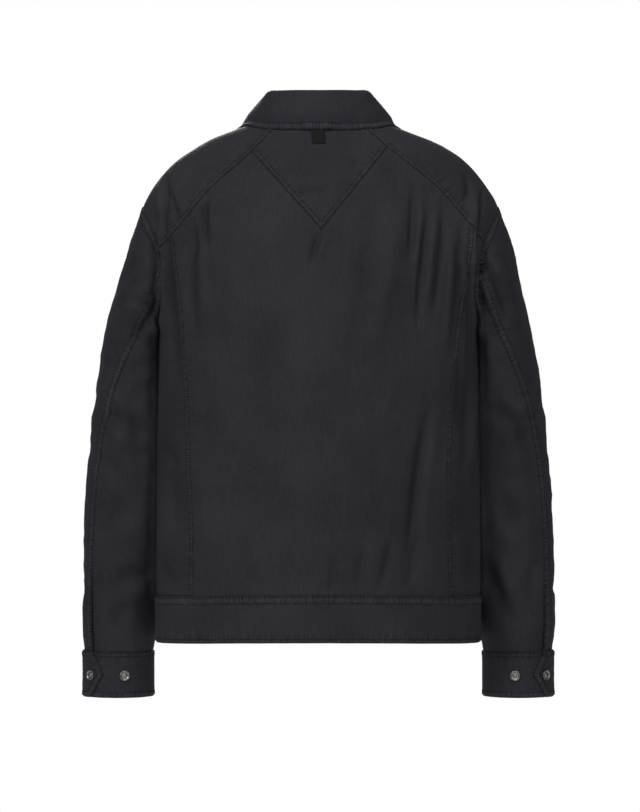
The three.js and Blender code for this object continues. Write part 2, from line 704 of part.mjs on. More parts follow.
// The whole sleeve of the wearer's left as rings of points, first at the front seam
function sleeveNet(seams) {
  const underBack = seams.armholeBack.slice(-1 - UNDER_SLEEVE_HALF);
  const underFront = seams.armholeFront.slice(-1 - UNDER_SLEEVE_HALF).reverse();
  const upperFront = seams.armholeFront.slice(0, -UNDER_SLEEVE_HALF).reverse();
  const upperBack = seams.armholeBack.slice(0, -UNDER_SLEEVE_HALF);
  const upper = [...upperFront, ...seams.armholeUpper.slice().reverse().slice(1), ...upperBack.slice(1)];
  const under = [...underBack, ...underFront.slice(1)];
  const armhole = [...upper, ...under.slice(1, -1)];
  const starts = armhole.map(([angle, level]) => clothPoint(angle, level));
  const upperParts = upper.length - 1;
  const underParts = under.length - 1;
  const angleOf = (ring, column) => {
    const front = SLEEVE.frontSeam(ring);
    const back = SLEEVE.backSeam(ring);
    if (column <= upperParts) return front - 360 + ((360 + back - front) * column) / upperParts;
    return back + ((front - back) * (column - upperParts)) / underParts;
  };
  const rings = steps(SLEEVE_ROWS).map((t) => {
    const ring = t * (SLEEVE.rows - 1);
    const hold = 1 - smoothStep(0, CAP_RINGS, ring);
    return starts.map((start, column) => {
      const point = sleeveRingPoint(ring, angleOf(ring, column) * DEGREE);
      const first = sleeveRingPoint(0, angleOf(0, column) * DEGREE);
      point.addScaledVector(start.clone().sub(first), hold);
      return ring === 0 ? point : besideBody(point, Math.min(SEAM_GAP + ring, BESIDE_MOST));
    });
  });
  return { rings, upperParts, armhole };
}

function addSleeve(sideName, seams, sign) {
  const { rings, upperParts, armhole } = sleeveNet(seams);
  const middles = rings.map((ring) => ring
    .reduce((sum, point) => sum.add(point), new THREE.Vector3()).divideScalar(ring.length));
  const normals = netNormals(rings, (point, i) => point.clone().sub(middles[i]), true);
  shareBodyNormals(normals[0], armhole);
  const columns = rings[0].length;
  const pick = (net, from, count) => net.map((row) => Array.from(
    { length: count + 1 },
    (_, j) => {
      const point = row[(from + j) % columns].clone();
      point.x *= sign;
      return point;
    },
  ));
  const addPiece = (name, from, count) => {
    const points = pick(rings, from, count);
    const outward = pick(normals, from, count);
    openSlit(name, points, outward);
    drawInRim(points, outward, SEAM_GAP / 2);
    addWall(`${name}_${sideName}`, points, outward, SHELL_CLOTH);
  };
  addPiece('upper_sleeve', 0, upperParts);
  addPiece('under_sleeve', upperParts, columns - upperParts);
}

// Where the sleeve runs on from the shoulder, its cut edge stands square to the body's cloth
function shareBodyNormals(normals, armhole) {
  normals.forEach((normal, j) => {
    const body = bodyNormal(...armhole[j]);
    normal.lerp(body, smoothStep(SHARED_FROM, SHARED_FULL, normal.dot(body))).normalize();
  });
}

// Below its top the slit's outer edge laps over the under sleeve's edge
function openSlit(name, points, normals) {
  const columns = points[0].length - 1;
  const upper = name === 'upper_sleeve';
  points.forEach((row, i) => {
    const edge = upper ? columns : 0;
    const open = 1 - smoothStep(SLIT_TOP - SLIT_EASE_BELOW, SLIT_TOP + SLIT_EASE_ABOVE, row[edge].z);
    row[edge].addScaledVector(normals[i][edge], open * (upper ? SLIT_OUT : -SLIT_IN));
  });
}

// ---- cuffs ----

function cuffPoint(degrees, height, out) {
  const angle = degrees * DEGREE;
  const last = SLEEVE.rows - 1;
  const middle = (SLEEVE.outerX(last) + SLEEVE.innerX(last)) / 2;
  const half = (SLEEVE.outerX(last) - SLEEVE.innerX(last)) / 2 + out;
  const depth = SLEEVE.depth(last) + out;
  return new THREE.Vector3(
    middle + half * Math.cos(angle),
    SLEEVE.centre(last) + depth * Math.sin(angle),
    height,
  );
}

function cuffNormal(degrees) {
  const last = SLEEVE.rows - 1;
  const half = (SLEEVE.outerX(last) - SLEEVE.innerX(last)) / 2;
  const angle = degrees * DEGREE;
  return new THREE.Vector3(Math.cos(angle) / half, Math.sin(angle) / SLEEVE.depth(last), 0).normalize();
}

// A cuff, one strip round the wrist, whose pointed end climbs over its plain end
function addCuff(sideName, sign) {
  const flip = (v) => new THREE.Vector3(v.x * sign, v.y, v.z);
  const climb = (degrees) => (
    smoothStep(CUFF_CLIMB_FROM, CUFF_CLIMB_TO, degrees) * (BAND_CLOTH + SEAM_GAP)
  );
  const net = steps(4).map((down) => steps(CUFF_PARTS).map((t) => {
    const corner = THREE.MathUtils.lerp(CUFF_TOP_CORNER, CUFF_LOW_CORNER, down);
    const point = (CUFF_TIP - corner) * (1 - Math.abs(2 * down - 1)) * smoothStep(CUFF_POINT_FROM, 1, t);
    const degrees = THREE.MathUtils.lerp(CUFF_LAP_START, 360 + corner, t) + point;
    return { degrees, height: THREE.MathUtils.lerp(CUFF_SEAM, CUFF_HEM, down) };
  }));
  const points = net.map((row) => row.map(({ degrees, height }) => (
    flip(cuffPoint(degrees, height, BAND_PROUD + climb(degrees)))
  )));
  const normals = net.map((row) => row.map(({ degrees }) => flip(cuffNormal(degrees))));
  drawInRim(points, normals, SEAM_GAP);
  addWall(`cuff_${sideName}`, points, normals, BAND_CLOTH);

  const height = (CUFF_SEAM + CUFF_HEM) / 2 - CUFF_SNAP_DROP;
  const addCuffSnap = (name, degrees, out) => {
    addSnap(`${name}_${sideName}`, flip(cuffPoint(degrees, height, out)), flip(cuffNormal(degrees)));
  };
  addCuffSnap('cuff_snap', CUFF_TAB_SNAP, BAND_PROUD + BAND_CLOTH + SEAM_GAP);
  addCuffSnap('cuff_stud', CUFF_STUD[sideName], BAND_PROUD);
}

// ---- snaps ----

// A pressed ring with a domed centre, its foot just clear of the cloth
function addSnap(name, place, normal) {
  const profile = SNAP_PROFILE.map(([radius, height]) => new THREE.Vector2(radius, height));
  const geometry = new THREE.LatheGeometry(profile, SNAP_SIDES);
  geometry.rotateX(Math.PI / 2);
  const mesh = addMesh(name, geometry, snapMetal);
  mesh.quaternion.setFromUnitVectors(UP, normal);
  mesh.position.copy(place).addScaledVector(normal, SEAM_GAP);
  mesh.position.x += hangOver(place.z);
}

function addFrontSnap(name, level, out) {
  const normal = bodyNormal(Math.PI, level);
  addSnap(name, bodyPoint(Math.PI, level).addScaledVector(normal, out), normal);
}

function addFrontSnaps() {
  for (let i = 0; i < FRONT_SNAPS; i += 1) {
    const level = levelAt(Math.PI, FRONT_SNAP_TOP - FRONT_SNAP_STEP * i);
    addFrontSnap(`front_snap_${i + 1}`, level, SHELL_CLOTH + LAID_ON);
  }
  const bandMiddle = (WAIST_LEVEL + HEM_LEVEL) / 2;
  addFrontSnap('waistband_snap', bandMiddle, BAND_PROUD + BAND_CLOTH + SEAM_GAP);
}

// ---- assembly ----

const leftSeams = drawSeams(BACK_SEAMS.left, YOKE_TIP);
const rightSeams = drawSeams(BACK_SEAMS.right, [-YOKE_TIP[0], YOKE_TIP[1]]);

addBack(leftSeams, rightSeams);
addBodySide('left', leftSeams, 1);
addBodySide('right', rightSeams, -1);
addPlacket();
addWaistband();
addCollar(leftSeams);
addNeckTab();
addSleeve('left', leftSeams, 1);
addSleeve('right', rightSeams, -1);
addCuff('left', 1);
addCuff('right', -1);
addFrontSnaps();

export default jacket;
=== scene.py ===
"""Trucker jacket in washed navy-charcoal cotton poplin, filled out as worn, seen from the back.

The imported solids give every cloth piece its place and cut. Here each one is skinned, refined, creased
and given its wall again, then the felled seams, stitching, snaps and neck tab are put on it.
"""

import json
import math

import bmesh
import bpy
import numpy as np
from mathutils import Matrix, Vector, noise
from mathutils.bvhtree import BVHTree
from mathutils.kdtree import KDTree

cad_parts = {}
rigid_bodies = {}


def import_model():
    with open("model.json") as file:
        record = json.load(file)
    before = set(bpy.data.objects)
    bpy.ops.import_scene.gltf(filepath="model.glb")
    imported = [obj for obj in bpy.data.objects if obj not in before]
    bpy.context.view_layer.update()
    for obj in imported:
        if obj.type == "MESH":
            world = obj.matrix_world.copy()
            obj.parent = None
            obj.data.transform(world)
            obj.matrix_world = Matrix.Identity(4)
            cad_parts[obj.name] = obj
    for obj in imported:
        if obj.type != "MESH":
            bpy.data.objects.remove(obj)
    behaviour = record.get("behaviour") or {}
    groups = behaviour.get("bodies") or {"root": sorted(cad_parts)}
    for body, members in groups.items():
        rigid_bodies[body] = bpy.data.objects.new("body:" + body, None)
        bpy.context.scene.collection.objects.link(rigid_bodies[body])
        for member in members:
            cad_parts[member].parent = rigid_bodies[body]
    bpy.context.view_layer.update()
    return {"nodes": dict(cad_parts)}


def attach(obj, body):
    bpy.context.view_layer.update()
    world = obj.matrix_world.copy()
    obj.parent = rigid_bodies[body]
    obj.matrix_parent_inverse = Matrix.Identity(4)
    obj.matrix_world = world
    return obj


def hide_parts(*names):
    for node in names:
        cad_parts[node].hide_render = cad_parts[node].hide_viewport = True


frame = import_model()
NODES = frame["nodes"]
MM = 0.001
SIDES = ("left", "right")
CLOTH_SUFFIX = "_cloth"

# Each cloth piece: its solid, the wall in mm, how often its net is halved, and how far its edges are
# rounded in mm.
CLOTH = [
    ("back_panel", 1.2, 2, 0),
    ("back_yoke", 1.5, 2, 0),
    ("shoulder_yoke_left", 1.5, 2, 0),
    ("shoulder_yoke_right", 1.5, 2, 0),
    ("back_side_left", 1.2, 2, 0),
    ("back_side_right", 1.2, 2, 0),
    ("front_left", 1.2, 2, 0),
    ("front_right", 1.2, 2, 0),
    ("front_placket", 2.0, 1, 0.6),
    ("waistband", 2.2, 2, 0.7),
    ("collar_stand", 2.0, 1, 0.6),
    ("collar_fall", 1.5, 2, 0.5),
    ("upper_sleeve_left", 1.2, 2, 0),
    ("upper_sleeve_right", 1.2, 2, 0),
    ("under_sleeve_left", 1.2, 2, 0),
    ("under_sleeve_right", 1.2, 2, 0),
    ("cuff_left", 2.2, 2, 0.7),
    ("cuff_right", 2.2, 2, 0.7),
    ("neck_tab", 1.2, 2, 0.3),
]
BODY_PIECES = ("back_panel", "back_yoke", "shoulder_yoke", "back_side", "front_left", "front_right")
SLEEVE_PIECES = ("upper_sleeve", "under_sleeve")

# Folds, for the pieces that each list shapes. half: half a fold's width in mm. rise: how far it stands out
# in mm, or sinks in below 0. points: its line, as x and z in mm from behind or in front, or y and z from
# the side.
YOKES = ("shoulder_yoke", "back_yoke")
BACKS = ("back_panel", "back_side")
SHOULDERS = YOKES + SLEEVE_PIECES + ("back_side",)
FOLDS = [
    # view, pieces, and for each fold: half, rise, points
    # right of the back: long drags under the shoulder, and soft ones towards the middle
    ("back", BACKS, [
        (4.5, -2.4, [(-121, -80), (-120, -108), (-118, -131), (-116, -182)]),
        (5.5, 1.8, [(-130, -86), (-128, -120), (-125, -160), (-123, -215)]),
        (4.5, -2.6, [(-141, -106), (-134.5, -148), (-130, -182), (-127, -224), (-125, -272)]),
        (5, 1.8, [(-148, -112), (-144, -150), (-140, -190), (-137, -240)]),
        (4.2, -2.6, [(-157.6, -100), (-156.6, -148), (-152.5, -182), (-148, -224), (-145, -255)]),
        (4.2, -2.2, [(-176, -150), (-178, -196), (-173, -250), (-169, -310)]),
        (4.6, 1.6, [(-166, -140), (-168, -190), (-164, -240), (-160, -300)]),
        (14, -2.0, [(-73.6, -75), (-69, -114), (-61, -203), (-57, -243), (-40, -308)]),
        (13, 1.9, [(-97, -96), (-92, -150), (-84, -215), (-72, -262), (-58, -312)]),
        # right, low: one long drag and short ones rising from the waistband
        (6.5, -3.6, [(-141, -352), (-131, -408), (-124, -460), (-119, -505), (-110, -566)]),
        (7, 1.1, [(-152, -358), (-143, -410), (-137, -470), (-134, -540)]),
        (6, -1.9, [(-128, -510), (-122, -545), (-112, -597)]),
        (6, -1.9, [(-92, -520), (-86, -560), (-75, -597)]),
        (5.5, -1.7, [(-55, -538), (-53, -566), (-50, -592)]),
        (5.5, -1.6, [(-20, -550), (-18, -574), (-15, -597)]),
        (10, 1.2, [(-70, -520), (-66, -556), (-62, -594)]),
        (12, -1.0, [(40, -470), (36, -520), (40, -580)]),
        (9, -1.1, [(96, -520), (88, -560), (90, -594)]),
        # left of the back
        (4.5, -2.4, [(141.6, -100), (144, -122), (143, -142), (141, -166)]),
        (4.5, 1.6, [(134, -96), (135, -120), (133, -150)]),
        (3.8, -2.4, [(163, -118), (157.5, -140), (154, -165), (157.5, -186), (158, -225), (156.5, -262),
                     (161, -280)]),
        (6, 1.6, [(148, -140), (146, -200), (143, -262)]),
        (12, -1.4, [(130, -360), (142, -385), (153, -402)]),
        (13, -1.3, [(126, -170), (122, -240), (118, -310)]),
        (14, 1.2, [(152, -420), (146, -480), (140, -540)]),
        (30, 1.3, [(20, -250), (26, -380), (14, -500)]),
        (26, -1.3, [(76, -240), (66, -330), (58, -440)]),
    ]),
    # the sides of the back: a blade along each armhole, and the hollow it leaves beside it
    ("back", BACKS + YOKES, [
        (3.6, 1.9, [(205, -95), (202, -131), (200.5, -156), (196.5, -184), (195, -207), (197.5, -227),
                    (199, -252), (199, -300), (201, -345)]),
        (6.5, -4.6, [(190, -140), (188.5, -182), (186, -207), (185.5, -227), (184.5, -252), (181, -303),
                     (178, -345)]),
    ]),
    ("back", ("back_side",), [
        (3, -2.4, [(198, -168), (196.5, -178), (199, -186)]),
    ]),
    ("back", BACKS, [
        (8, -1.6, [(178, -400), (184, -450), (180, -520)]),
        (8, 1.5, [(190, -420), (192, -480), (188, -545)]),
    ]),
    ("back", BACKS + YOKES, [
        (3, 1.9, [(-203, -90), (-201, -130), (-197, -156), (-196.5, -207), (-198, -250), (-200, -300)]),
    ]),
    ("back", BACKS, [
        (3.2, -2.6, [(-190, -150), (-191, -200), (-189, -230), (-192.5, -252), (-192, -300), (-188, -360)]),
        (6, -2.0, [(-183, -120), (-181, -160), (-179, -210), (-180, -260)]),
        (8, -1.6, [(-180, -420), (-186, -470), (-182, -540)]),
        (5, -3.2, [(-188, -328), (-188, -380), (-184, -448)]),
        (6, 2.4, [(-197, -330), (-196, -390), (-193, -450)]),
        (4.5, -2.4, [(-178, -300), (-179, -350), (-176, -402)]),
        (7, -3.4, [(206, -542), (196, -566), (182, -592)]),
        (6, -2.2, [(198, -404), (188, -424), (176, -436)]),
        (6, -2.4, [(-204, -500), (-194, -540), (-190, -588)]),
        # crease below the tip of the yoke, and slack in the yokes
        (4, -2.0, [(-2.6, -141), (1.4, -154), (5.4, -168), (10.5, -190)]),
        (5, 1.1, [(-10, -146), (-6, -160), (-2, -178)]),
    ]),
    ("back", YOKES, [
        (5, -1.3, [(31, -95), (8, -92), (-15, -91)]),
        (6, 1.0, [(36, -84), (10, -81), (-20, -82)]),
        (6, -0.9, [(66, -40), (48, -42), (30, -39)]),
        (7, -1.0, [(-30, -44), (-46, -52), (-58, -50)]),
    ]),
    # shoulders
    ("back", SHOULDERS, [
        (3.4, -3.4, [(193, -62), (193.5, -98), (197, -128), (192, -146)]),
    ]),
    ("back", YOKES, [
        (3.2, -2.4, [(189, -84), (186, -100), (180, -118), (174, -132)]),
    ]),
    ("back", SHOULDERS, [
        (4, 1.8, [(202, -70), (202, -96), (204, -120)]),
        (5.5, -1.5, [(206, -96), (208, -116), (205, -140)]),
    ]),
    ("back", YOKES, [
        (8, -1.2, [(150, -50), (158, -66), (170, -80)]),
        (4.5, -2.2, [(-187, -62), (-191, -85), (-186, -106)]),
    ]),
    ("back", SHOULDERS, [
        (3, -4.4, [(-208, -82), (-207.5, -100), (-205.6, -122), (-203.4, -141), (-203, -160)]),
        (5, 1.7, [(-197, -84), (-198, -110), (-195, -136)]),
    ]),
    ("back", YOKES, [
        (9, -1.2, [(-120, -30), (-136, -46), (-150, -62)]),
    ]),
    # the sleeves fall away behind the edge of the body
    ("back", SLEEVE_PIECES, [
        (6.5, -4.6, [(219, -135), (211, -165), (207, -190), (209, -227), (213, -265)]),
        (6.5, -4.8, [(-215, -150), (-209, -175), (-206, -205), (-208, -235), (-212, -265)]),
        (9, 3.0, [(220, -270), (217, -340), (219, -420), (222, -500), (222, -560), (214, -620)]),
        (9, 3.0, [(-220, -270), (-217, -340), (-219, -420), (-222, -500), (-222, -560), (-214, -620)]),
        # left sleeve
        (7, -3.4, [(206, -214), (213, -244), (230, -268), (246, -296)]),
        (8, 2.2, [(224, -206), (236, -232), (252, -252)]),
        (9, -2.2, [(232, -172), (246, -190), (254, -214)]),
        (10, -2.6, [(276, -366), (254, -378), (232, -374)]),
        (9, 2.2, [(270, -392), (250, -404), (230, -396)]),
        (10, -2.4, [(282, -420), (262, -440), (240, -446)]),
        (9, -2.6, [(243, -370), (238, -392), (233, -414)]),
        (8, -3.0, [(212, -566), (226, -574), (249, -580), (272, -594)]),
        (9, 2.4, [(218, -590), (238, -602), (258, -616)]),
        (9, -2.6, [(240, -612), (258, -628), (272, -652)]),
        (6, -2.6, [(209, -558), (200, -574), (191, -590)]),
        (12, 2.0, [(228, -480), (238, -520), (232, -552)]),
        (12, -2.0, [(262, -480), (270, -516), (266, -550)]),
        # right sleeve
        (5.5, -3.2, [(-204, -169), (-219, -190), (-229, -209), (-238, -234), (-241, -252)]),
        (6, 2.2, [(-216, -170), (-230, -190), (-240, -212)]),
        (9, -2.6, [(-214, -226), (-224, -262), (-238, -290)]),
        (10, -3.0, [(-222, -350), (-238, -372), (-256, -386), (-272, -420)]),
        (9, 2.4, [(-236, -342), (-254, -360), (-270, -374)]),
        (10, -2.8, [(-232, -476), (-250, -500), (-268, -512)]),
        (9, 2.2, [(-226, -506), (-246, -526), (-262, -536)]),
        (8, -3.4, [(-214, -554), (-226, -588), (-238, -614), (-254, -640)]),
        (9, 2.4, [(-230, -552), (-242, -580), (-256, -606)]),
        (8, -2.4, [(-272, -556), (-276, -588), (-270, -622)]),
    ]),
    # the front: drags from the armholes, and slack each side of the snaps
    ("front", ("front",), [
        (7, -2.6, [(196, -200), (172, -232), (150, -276), (138, -330)]),
        (7, 2.0, [(186, -190), (160, -220), (138, -262)]),
        (6, -2.4, [(-194, -205), (-176, -240), (-160, -290), (-150, -352)]),
        (7, 1.8, [(-182, -190), (-160, -226), (-142, -280)]),
        (9, -1.8, [(60, -120), (66, -200), (58, -280)]),
        (8, -1.8, [(-56, -130), (-64, -190), (-60, -262)]),
        (6, -1.8, [(30, -186), (46, -192), (64, -190)]),
        (6, -1.6, [(-30, -282), (-48, -290), (-66, -286)]),
        (6.5, -2.6, [(132, -410), (126, -470), (118, -530), (110, -590)]),
        (7, 1.8, [(144, -420), (138, -480), (130, -550)]),
        (6, -2.2, [(-120, -440), (-114, -500), (-108, -588)]),
        (6, -1.9, [(70, -530), (66, -560), (60, -594)]),
        (6, -1.9, [(-70, -520), (-62, -560), (-60, -594)]),
    ]),
    ("front", SLEEVE_PIECES, [
        (8, -3.2, [(208, -232), (226, -262), (246, -282)]),
        (8, -3.0, [(-208, -228), (-228, -256), (-250, -274)]),
        (9, -3.4, [(214, -350), (240, -368), (270, -362)]),
        (9, 2.6, [(216, -374), (244, -392), (274, -386)]),
        (9, -3.2, [(220, -402), (248, -420), (276, -412)]),
        (9, -3.4, [(-212, -340), (-238, -362), (-268, -360)]),
        (9, 2.6, [(-216, -368), (-244, -388), (-272, -384)]),
        (9, -3.0, [(-218, -398), (-246, -414), (-274, -408)]),
        (9, -2.8, [(222, -560), (244, -584), (272, -590)]),
        (9, -2.8, [(-224, -566), (-250, -592), (-276, -594)]),
    ]),
    # the outer side of each sleeve, at the elbow and above the cuff
    ("side", SLEEVE_PIECES, [
        (9, -1.5, [(-72, -330), (-46, -352), (-22, -350)]),
        (9, 0.8, [(-76, -358), (-46, -378), (-20, -372)]),
        (10, -1.4, [(-84, -404), (-50, -420), (-26, -410)]),
        (9, -2.4, [(-90, -570), (-62, -592), (-34, -600)]),
        (10, -2.0, [(-40, -150), (-30, -200), (-36, -250)]),
    ]),
]
# Pulls, as seen from behind: the pieces, the middle as x and z, how far it is pulled in x and z, and its
# reach in x and z, in mm. The corners of the collar's roll are sharp, and the blades lap over the armholes.
COLLAR = ("collar_fall", "collar_stand")
PULLS = [
    (COLLAR, (60.5, 37), (3.4, 1.6), (9, 9)),
    (COLLAR, (-60.5, 37), (-3.4, 1.6), (9, 9)),
    (BACKS + YOKES + SLEEVE_PIECES, (194, -209), (7, 0), (15, 32)),
    (BACKS + YOKES + SLEEVE_PIECES, (-196, -212), (-3.6, 0), (15, 32)),
]
# For each view: the axis across it, the axis that faces it, and its sign, which from the side is the sleeve's
VIEW_AXES = {"back": (0, 1, 1.0), "front": (0, 1, -1.0), "side": (1, 0, None)}

ARMHOLE_LEFT = ("shoulder_yoke_left", "back_side_left", "back_panel", "front_left")
ARMHOLE_RIGHT = ("shoulder_yoke_right", "back_side_right", "back_panel", "front_right")
WAIST_SEWN = ("back_panel", "back_side_left", "back_side_right", "front_left", "front_right", "front_placket")
# Seams: the piece that carries the felled band, the pieces it is sewn to, the band's width in mm, the rows of
# stitching across it in mm, how far it stands up in mm, and how far its puckers reach into the cloth in mm.
SEAMS = [
    ("back_yoke", ("back_panel",), 6.6, (1.0, 5.7), 0.7, 12),
    ("shoulder_yoke_left", ("back_yoke", "back_panel", "back_side_left"), 6.8, (1.0, 5.9), 0.7, 16),
    ("shoulder_yoke_right", ("back_yoke", "back_panel", "back_side_right"), 6.8, (1.0, 5.9), 0.7, 16),
    ("shoulder_yoke_left", ("front_left",), 6.8, (1.0, 5.9), 0.7, 14),
    ("shoulder_yoke_right", ("front_right",), 6.8, (1.0, 5.9), 0.7, 14),
    ("back_side_left", ("back_panel",), 6.6, (0.9, 5.7), 0.65, 12),
    ("back_side_right", ("back_panel",), 6.6, (0.9, 5.7), 0.65, 12),
    ("front_left", ("back_side_left",), 6.4, (0.9, 5.6), 0.6, 12),
    ("front_right", ("back_side_right",), 6.4, (0.9, 5.6), 0.6, 12),
    ("upper_sleeve_left", ARMHOLE_LEFT, 9.8, (1.2, 8.4), 0.6, 12),
    ("upper_sleeve_right", ARMHOLE_RIGHT, 9.8, (1.2, 8.4), 0.6, 12),
    ("under_sleeve_left", ARMHOLE_LEFT, 9.8, (1.2, 8.4), 0.6, 12),
    ("under_sleeve_right", ARMHOLE_RIGHT, 9.8, (1.2, 8.4), 0.6, 12),
    ("upper_sleeve_left", ("under_sleeve_left",), 9.8, (1.2, 8.4), 0.7, 12),
    ("upper_sleeve_right", ("under_sleeve_right",), 9.8, (1.2, 8.4), 0.7, 12),
    ("waistband", WAIST_SEWN, 10, (1.4, 9.2), 0.5, 14),
    ("cuff_left", ("upper_sleeve_left", "under_sleeve_left"), 5.4, (1.2, 4.7), 0.5, 12),
    ("cuff_right", ("upper_sleeve_right", "under_sleeve_right"), 5.4, (1.2, 4.7), 0.5, 12),
]
SLEEVES = {side: ("upper_sleeve_" + side, "under_sleeve_" + side) for side in SIDES}
# Edges that are turned in and stitched: the piece, what the rest of its rim is sewn to, the band's width in
# mm, its rows, its rise and its puckers.
HEMS = [
    ("collar_fall", ("collar_stand",), 8.6, (7.8,), 0.5, 7),
    ("waistband", WAIST_SEWN, 4.0, (3.2,), 0.35, 16),
    ("cuff_left", SLEEVES["left"], 5.6, (4.9,), 0.4, 10),
    ("cuff_right", SLEEVES["right"], 5.6, (4.9,), 0.4, 10),
    ("front_placket", ("waistband", "collar_stand", "collar_fall"), 4.4, (3.6,), 0.35, 8),
]


# ---------------------------------------------------------------- small tools

def only(obj):
    """Leaves obj as the one thing selected and active."""
    for other in bpy.context.view_layer.objects:
        other.select_set(False)
    obj.select_set(True)
    bpy.context.view_layer.objects.active = obj


def link(name, mesh):
    """A new object of this mesh, in the scene."""
    obj = bpy.data.objects.new(name, mesh)
    bpy.context.scene.collection.objects.link(obj)
    return obj


def apply_modifier(obj, kind, **settings):
    """Puts a modifier with these settings on obj and applies it."""
    only(obj)
    modifier = obj.modifiers.new(kind, kind)
    for key, value in settings.items():
        setattr(modifier, key, value)
    bpy.ops.object.modifier_apply(modifier=modifier.name)


def points_of(mesh):
    """The mesh's points, one in each row."""
    flat = np.zeros(len(mesh.vertices) * 3)
    mesh.vertices.foreach_get("co", flat)
    return flat.reshape(-1, 3)


def normals_of(mesh):
    """The way that the mesh faces at each point."""
    flat = np.zeros(len(mesh.vertices) * 3)
    mesh.vertex_normals.foreach_get("vector", flat)
    return flat.reshape(-1, 3)


def smooth_step(low, high, value):
    """0 up to low and 1 from high on, with a soft rise between. It falls if low is above high."""
    t = np.clip((value - low) / (high - low), 0, 1)
    return t * t * (3 - 2 * t)


# A sleeve's axis is read at this many heights, from the points this near to each, in metres
AXIS_ROWS = 24
AXIS_SLICE = 30 * MM
# The middle of the body's hollow
BODY_HEART = Vector((0.0, -0.009, -0.3))


def sleeve_axis(side):
    """The middle of a sleeve at each height, as heights and points."""
    rows = []
    for part in ("upper_sleeve_", "under_sleeve_", "cuff_"):
        rows += [tuple(v.co) for v in NODES[part + side].data.vertices]
    points = np.array(rows)
    heights = np.linspace(points[:, 2].min(), points[:, 2].max(), AXIS_ROWS)
    middle = []
    for z in heights:
        near = points[np.abs(points[:, 2] - z) < AXIS_SLICE]
        middle.append((near.min(0) + near.max(0))[:2] / 2)
    return heights, np.array(middle)


AXES = {side: sleeve_axis(side) for side in SIDES}


def inside_of(name, point):
    """A point in the hollow of the garment, level with this one in a sleeve."""
    if "sleeve" in name or "cuff" in name:
        heights, middle = AXES["left" if point.x > 0 else "right"]
        x, y = (np.interp(point.z, heights, middle[:, k]) for k in range(2))
        return Vector((x, y, point.z))
    return BODY_HEART


# ---------------------------------------------------------------- the skins

# Points closer than this are one, and neighbours that turn less than this lie on one skin
WELD = 0.02 * MM
SKIN_TURN = math.radians(50)
# A rim that turns to less than this angle has a corner, which stays sharp
SHARP_RIM = math.radians(145)
SHORTEST_EDGE = 1e-6


def skin_of(node_name):
    """The outer skin of a cloth solid, as an open net of faces."""
    mesh = NODES[node_name].data.copy()
    mesh.materials.clear()
    net = bmesh.new()
    net.from_mesh(mesh)
    bmesh.ops.remove_doubles(net, verts=net.verts, dist=WELD)
    net.normal_update()
    seen, best_score, best = set(), None, None
    for start in net.faces:
        if start in seen:
            continue
        seen.add(start)
        members, todo, score = [], [start], 0.0
        while todo:
            face = todo.pop()
            members.append(face)
            middle = face.calc_center_median()
            outward = (middle - inside_of(node_name, middle)).normalized()
            score += face.calc_area() * face.normal.dot(outward)
            for edge in face.edges:
                for other in edge.link_faces:
                    if other not in seen and other.normal.dot(face.normal) > math.cos(SKIN_TURN):
                        seen.add(other)
                        todo.append(other)
        if best_score is None or score > best_score:
            best_score, best = score, set(members)
    bmesh.ops.delete(net, geom=[f for f in net.faces if f not in best], context="FACES")
    bmesh.ops.join_triangles(net, faces=net.faces, angle_face_threshold=0.7, angle_shape_threshold=1.2)
    crease = net.verts.layers.float.new("crease_vert")
    for vert in net.verts:
        rim = [e for e in vert.link_edges if e.is_boundary]
        if len(rim) == 2:
            a, b = (e.other_vert(vert).co - vert.co for e in rim)
            if min(a.length, b.length) > SHORTEST_EDGE and a.angle(b) < SHARP_RIM:
                vert[crease] = 1.0
    net.to_mesh(mesh)
    net.free()
    return mesh


def lay_flat(obj, node_name):
    """Unrolls the skin into its cut, with the grain down it. Returns its width, length and area in metres."""
    only(obj)
    bpy.ops.object.mode_set(mode="EDIT")
    bpy.ops.mesh.select_all(action="SELECT")
    bpy.ops.uv.unwrap(method="ANGLE_BASED", margin=0.0)
    bpy.ops.object.mode_set(mode="OBJECT")
    mesh = obj.data
    layer = mesh.uv_layers.active
    layer.name = "cloth"
    uv = np.zeros(len(mesh.loops) * 2)
    layer.data.foreach_get("uv", uv)
    uv = uv.reshape(-1, 2)
    corner = np.zeros(len(mesh.loops), np.int32)
    mesh.loops.foreach_get("vertex_index", corner)
    z = points_of(mesh)[corner, 2]
    area = sum(p.area for p in mesh.polygons)
    flat_area = 0.0
    for p in mesh.polygons:
        ring = uv[list(p.loop_indices)]
        x, y = ring[:, 0], ring[:, 1]
        flat_area += abs(np.dot(x, np.roll(y, -1)) - np.dot(y, np.roll(x, -1))) / 2
    uv = (uv - uv.mean(0)) * math.sqrt(area / flat_area)
    grain = np.linalg.lstsq(np.c_[uv, np.ones(len(uv))], z, rcond=None)[0][:2]
    if "collar" in node_name:
        grain = np.array([0.0, 1.0]) if np.ptp(uv[:, 0]) > np.ptp(uv[:, 1]) else np.array([1.0, 0.0])
    grain = grain / np.linalg.norm(grain)
    uv = uv @ np.array([[grain[1], grain[0]], [-grain[0], grain[1]]])
    layer.data.foreach_set("uv", uv.astype(np.float32).ravel())
    width, length = np.ptp(uv, axis=0)
    return float(width), float(length), area


skins, cuts = {}, {}
for node_name, _, halvings, _ in CLOTH:
    skin = link(node_name + CLOTH_SUFFIX, skin_of(node_name))
    cuts[node_name] = lay_flat(skin, node_name)
    apply_modifier(skin, "SUBSURF", levels=halvings, render_levels=halvings,
                   boundary_smooth="PRESERVE_CORNERS", use_limit_surface=False)
    skins[node_name] = skin


# ---------------------------------------------------------------- seam lines

# A seam's line ends at a corner that turns more than this, and shorter lines are dropped
SEAM_CORNER = math.radians(50)
SHORTEST_SEAM = 13 * MM
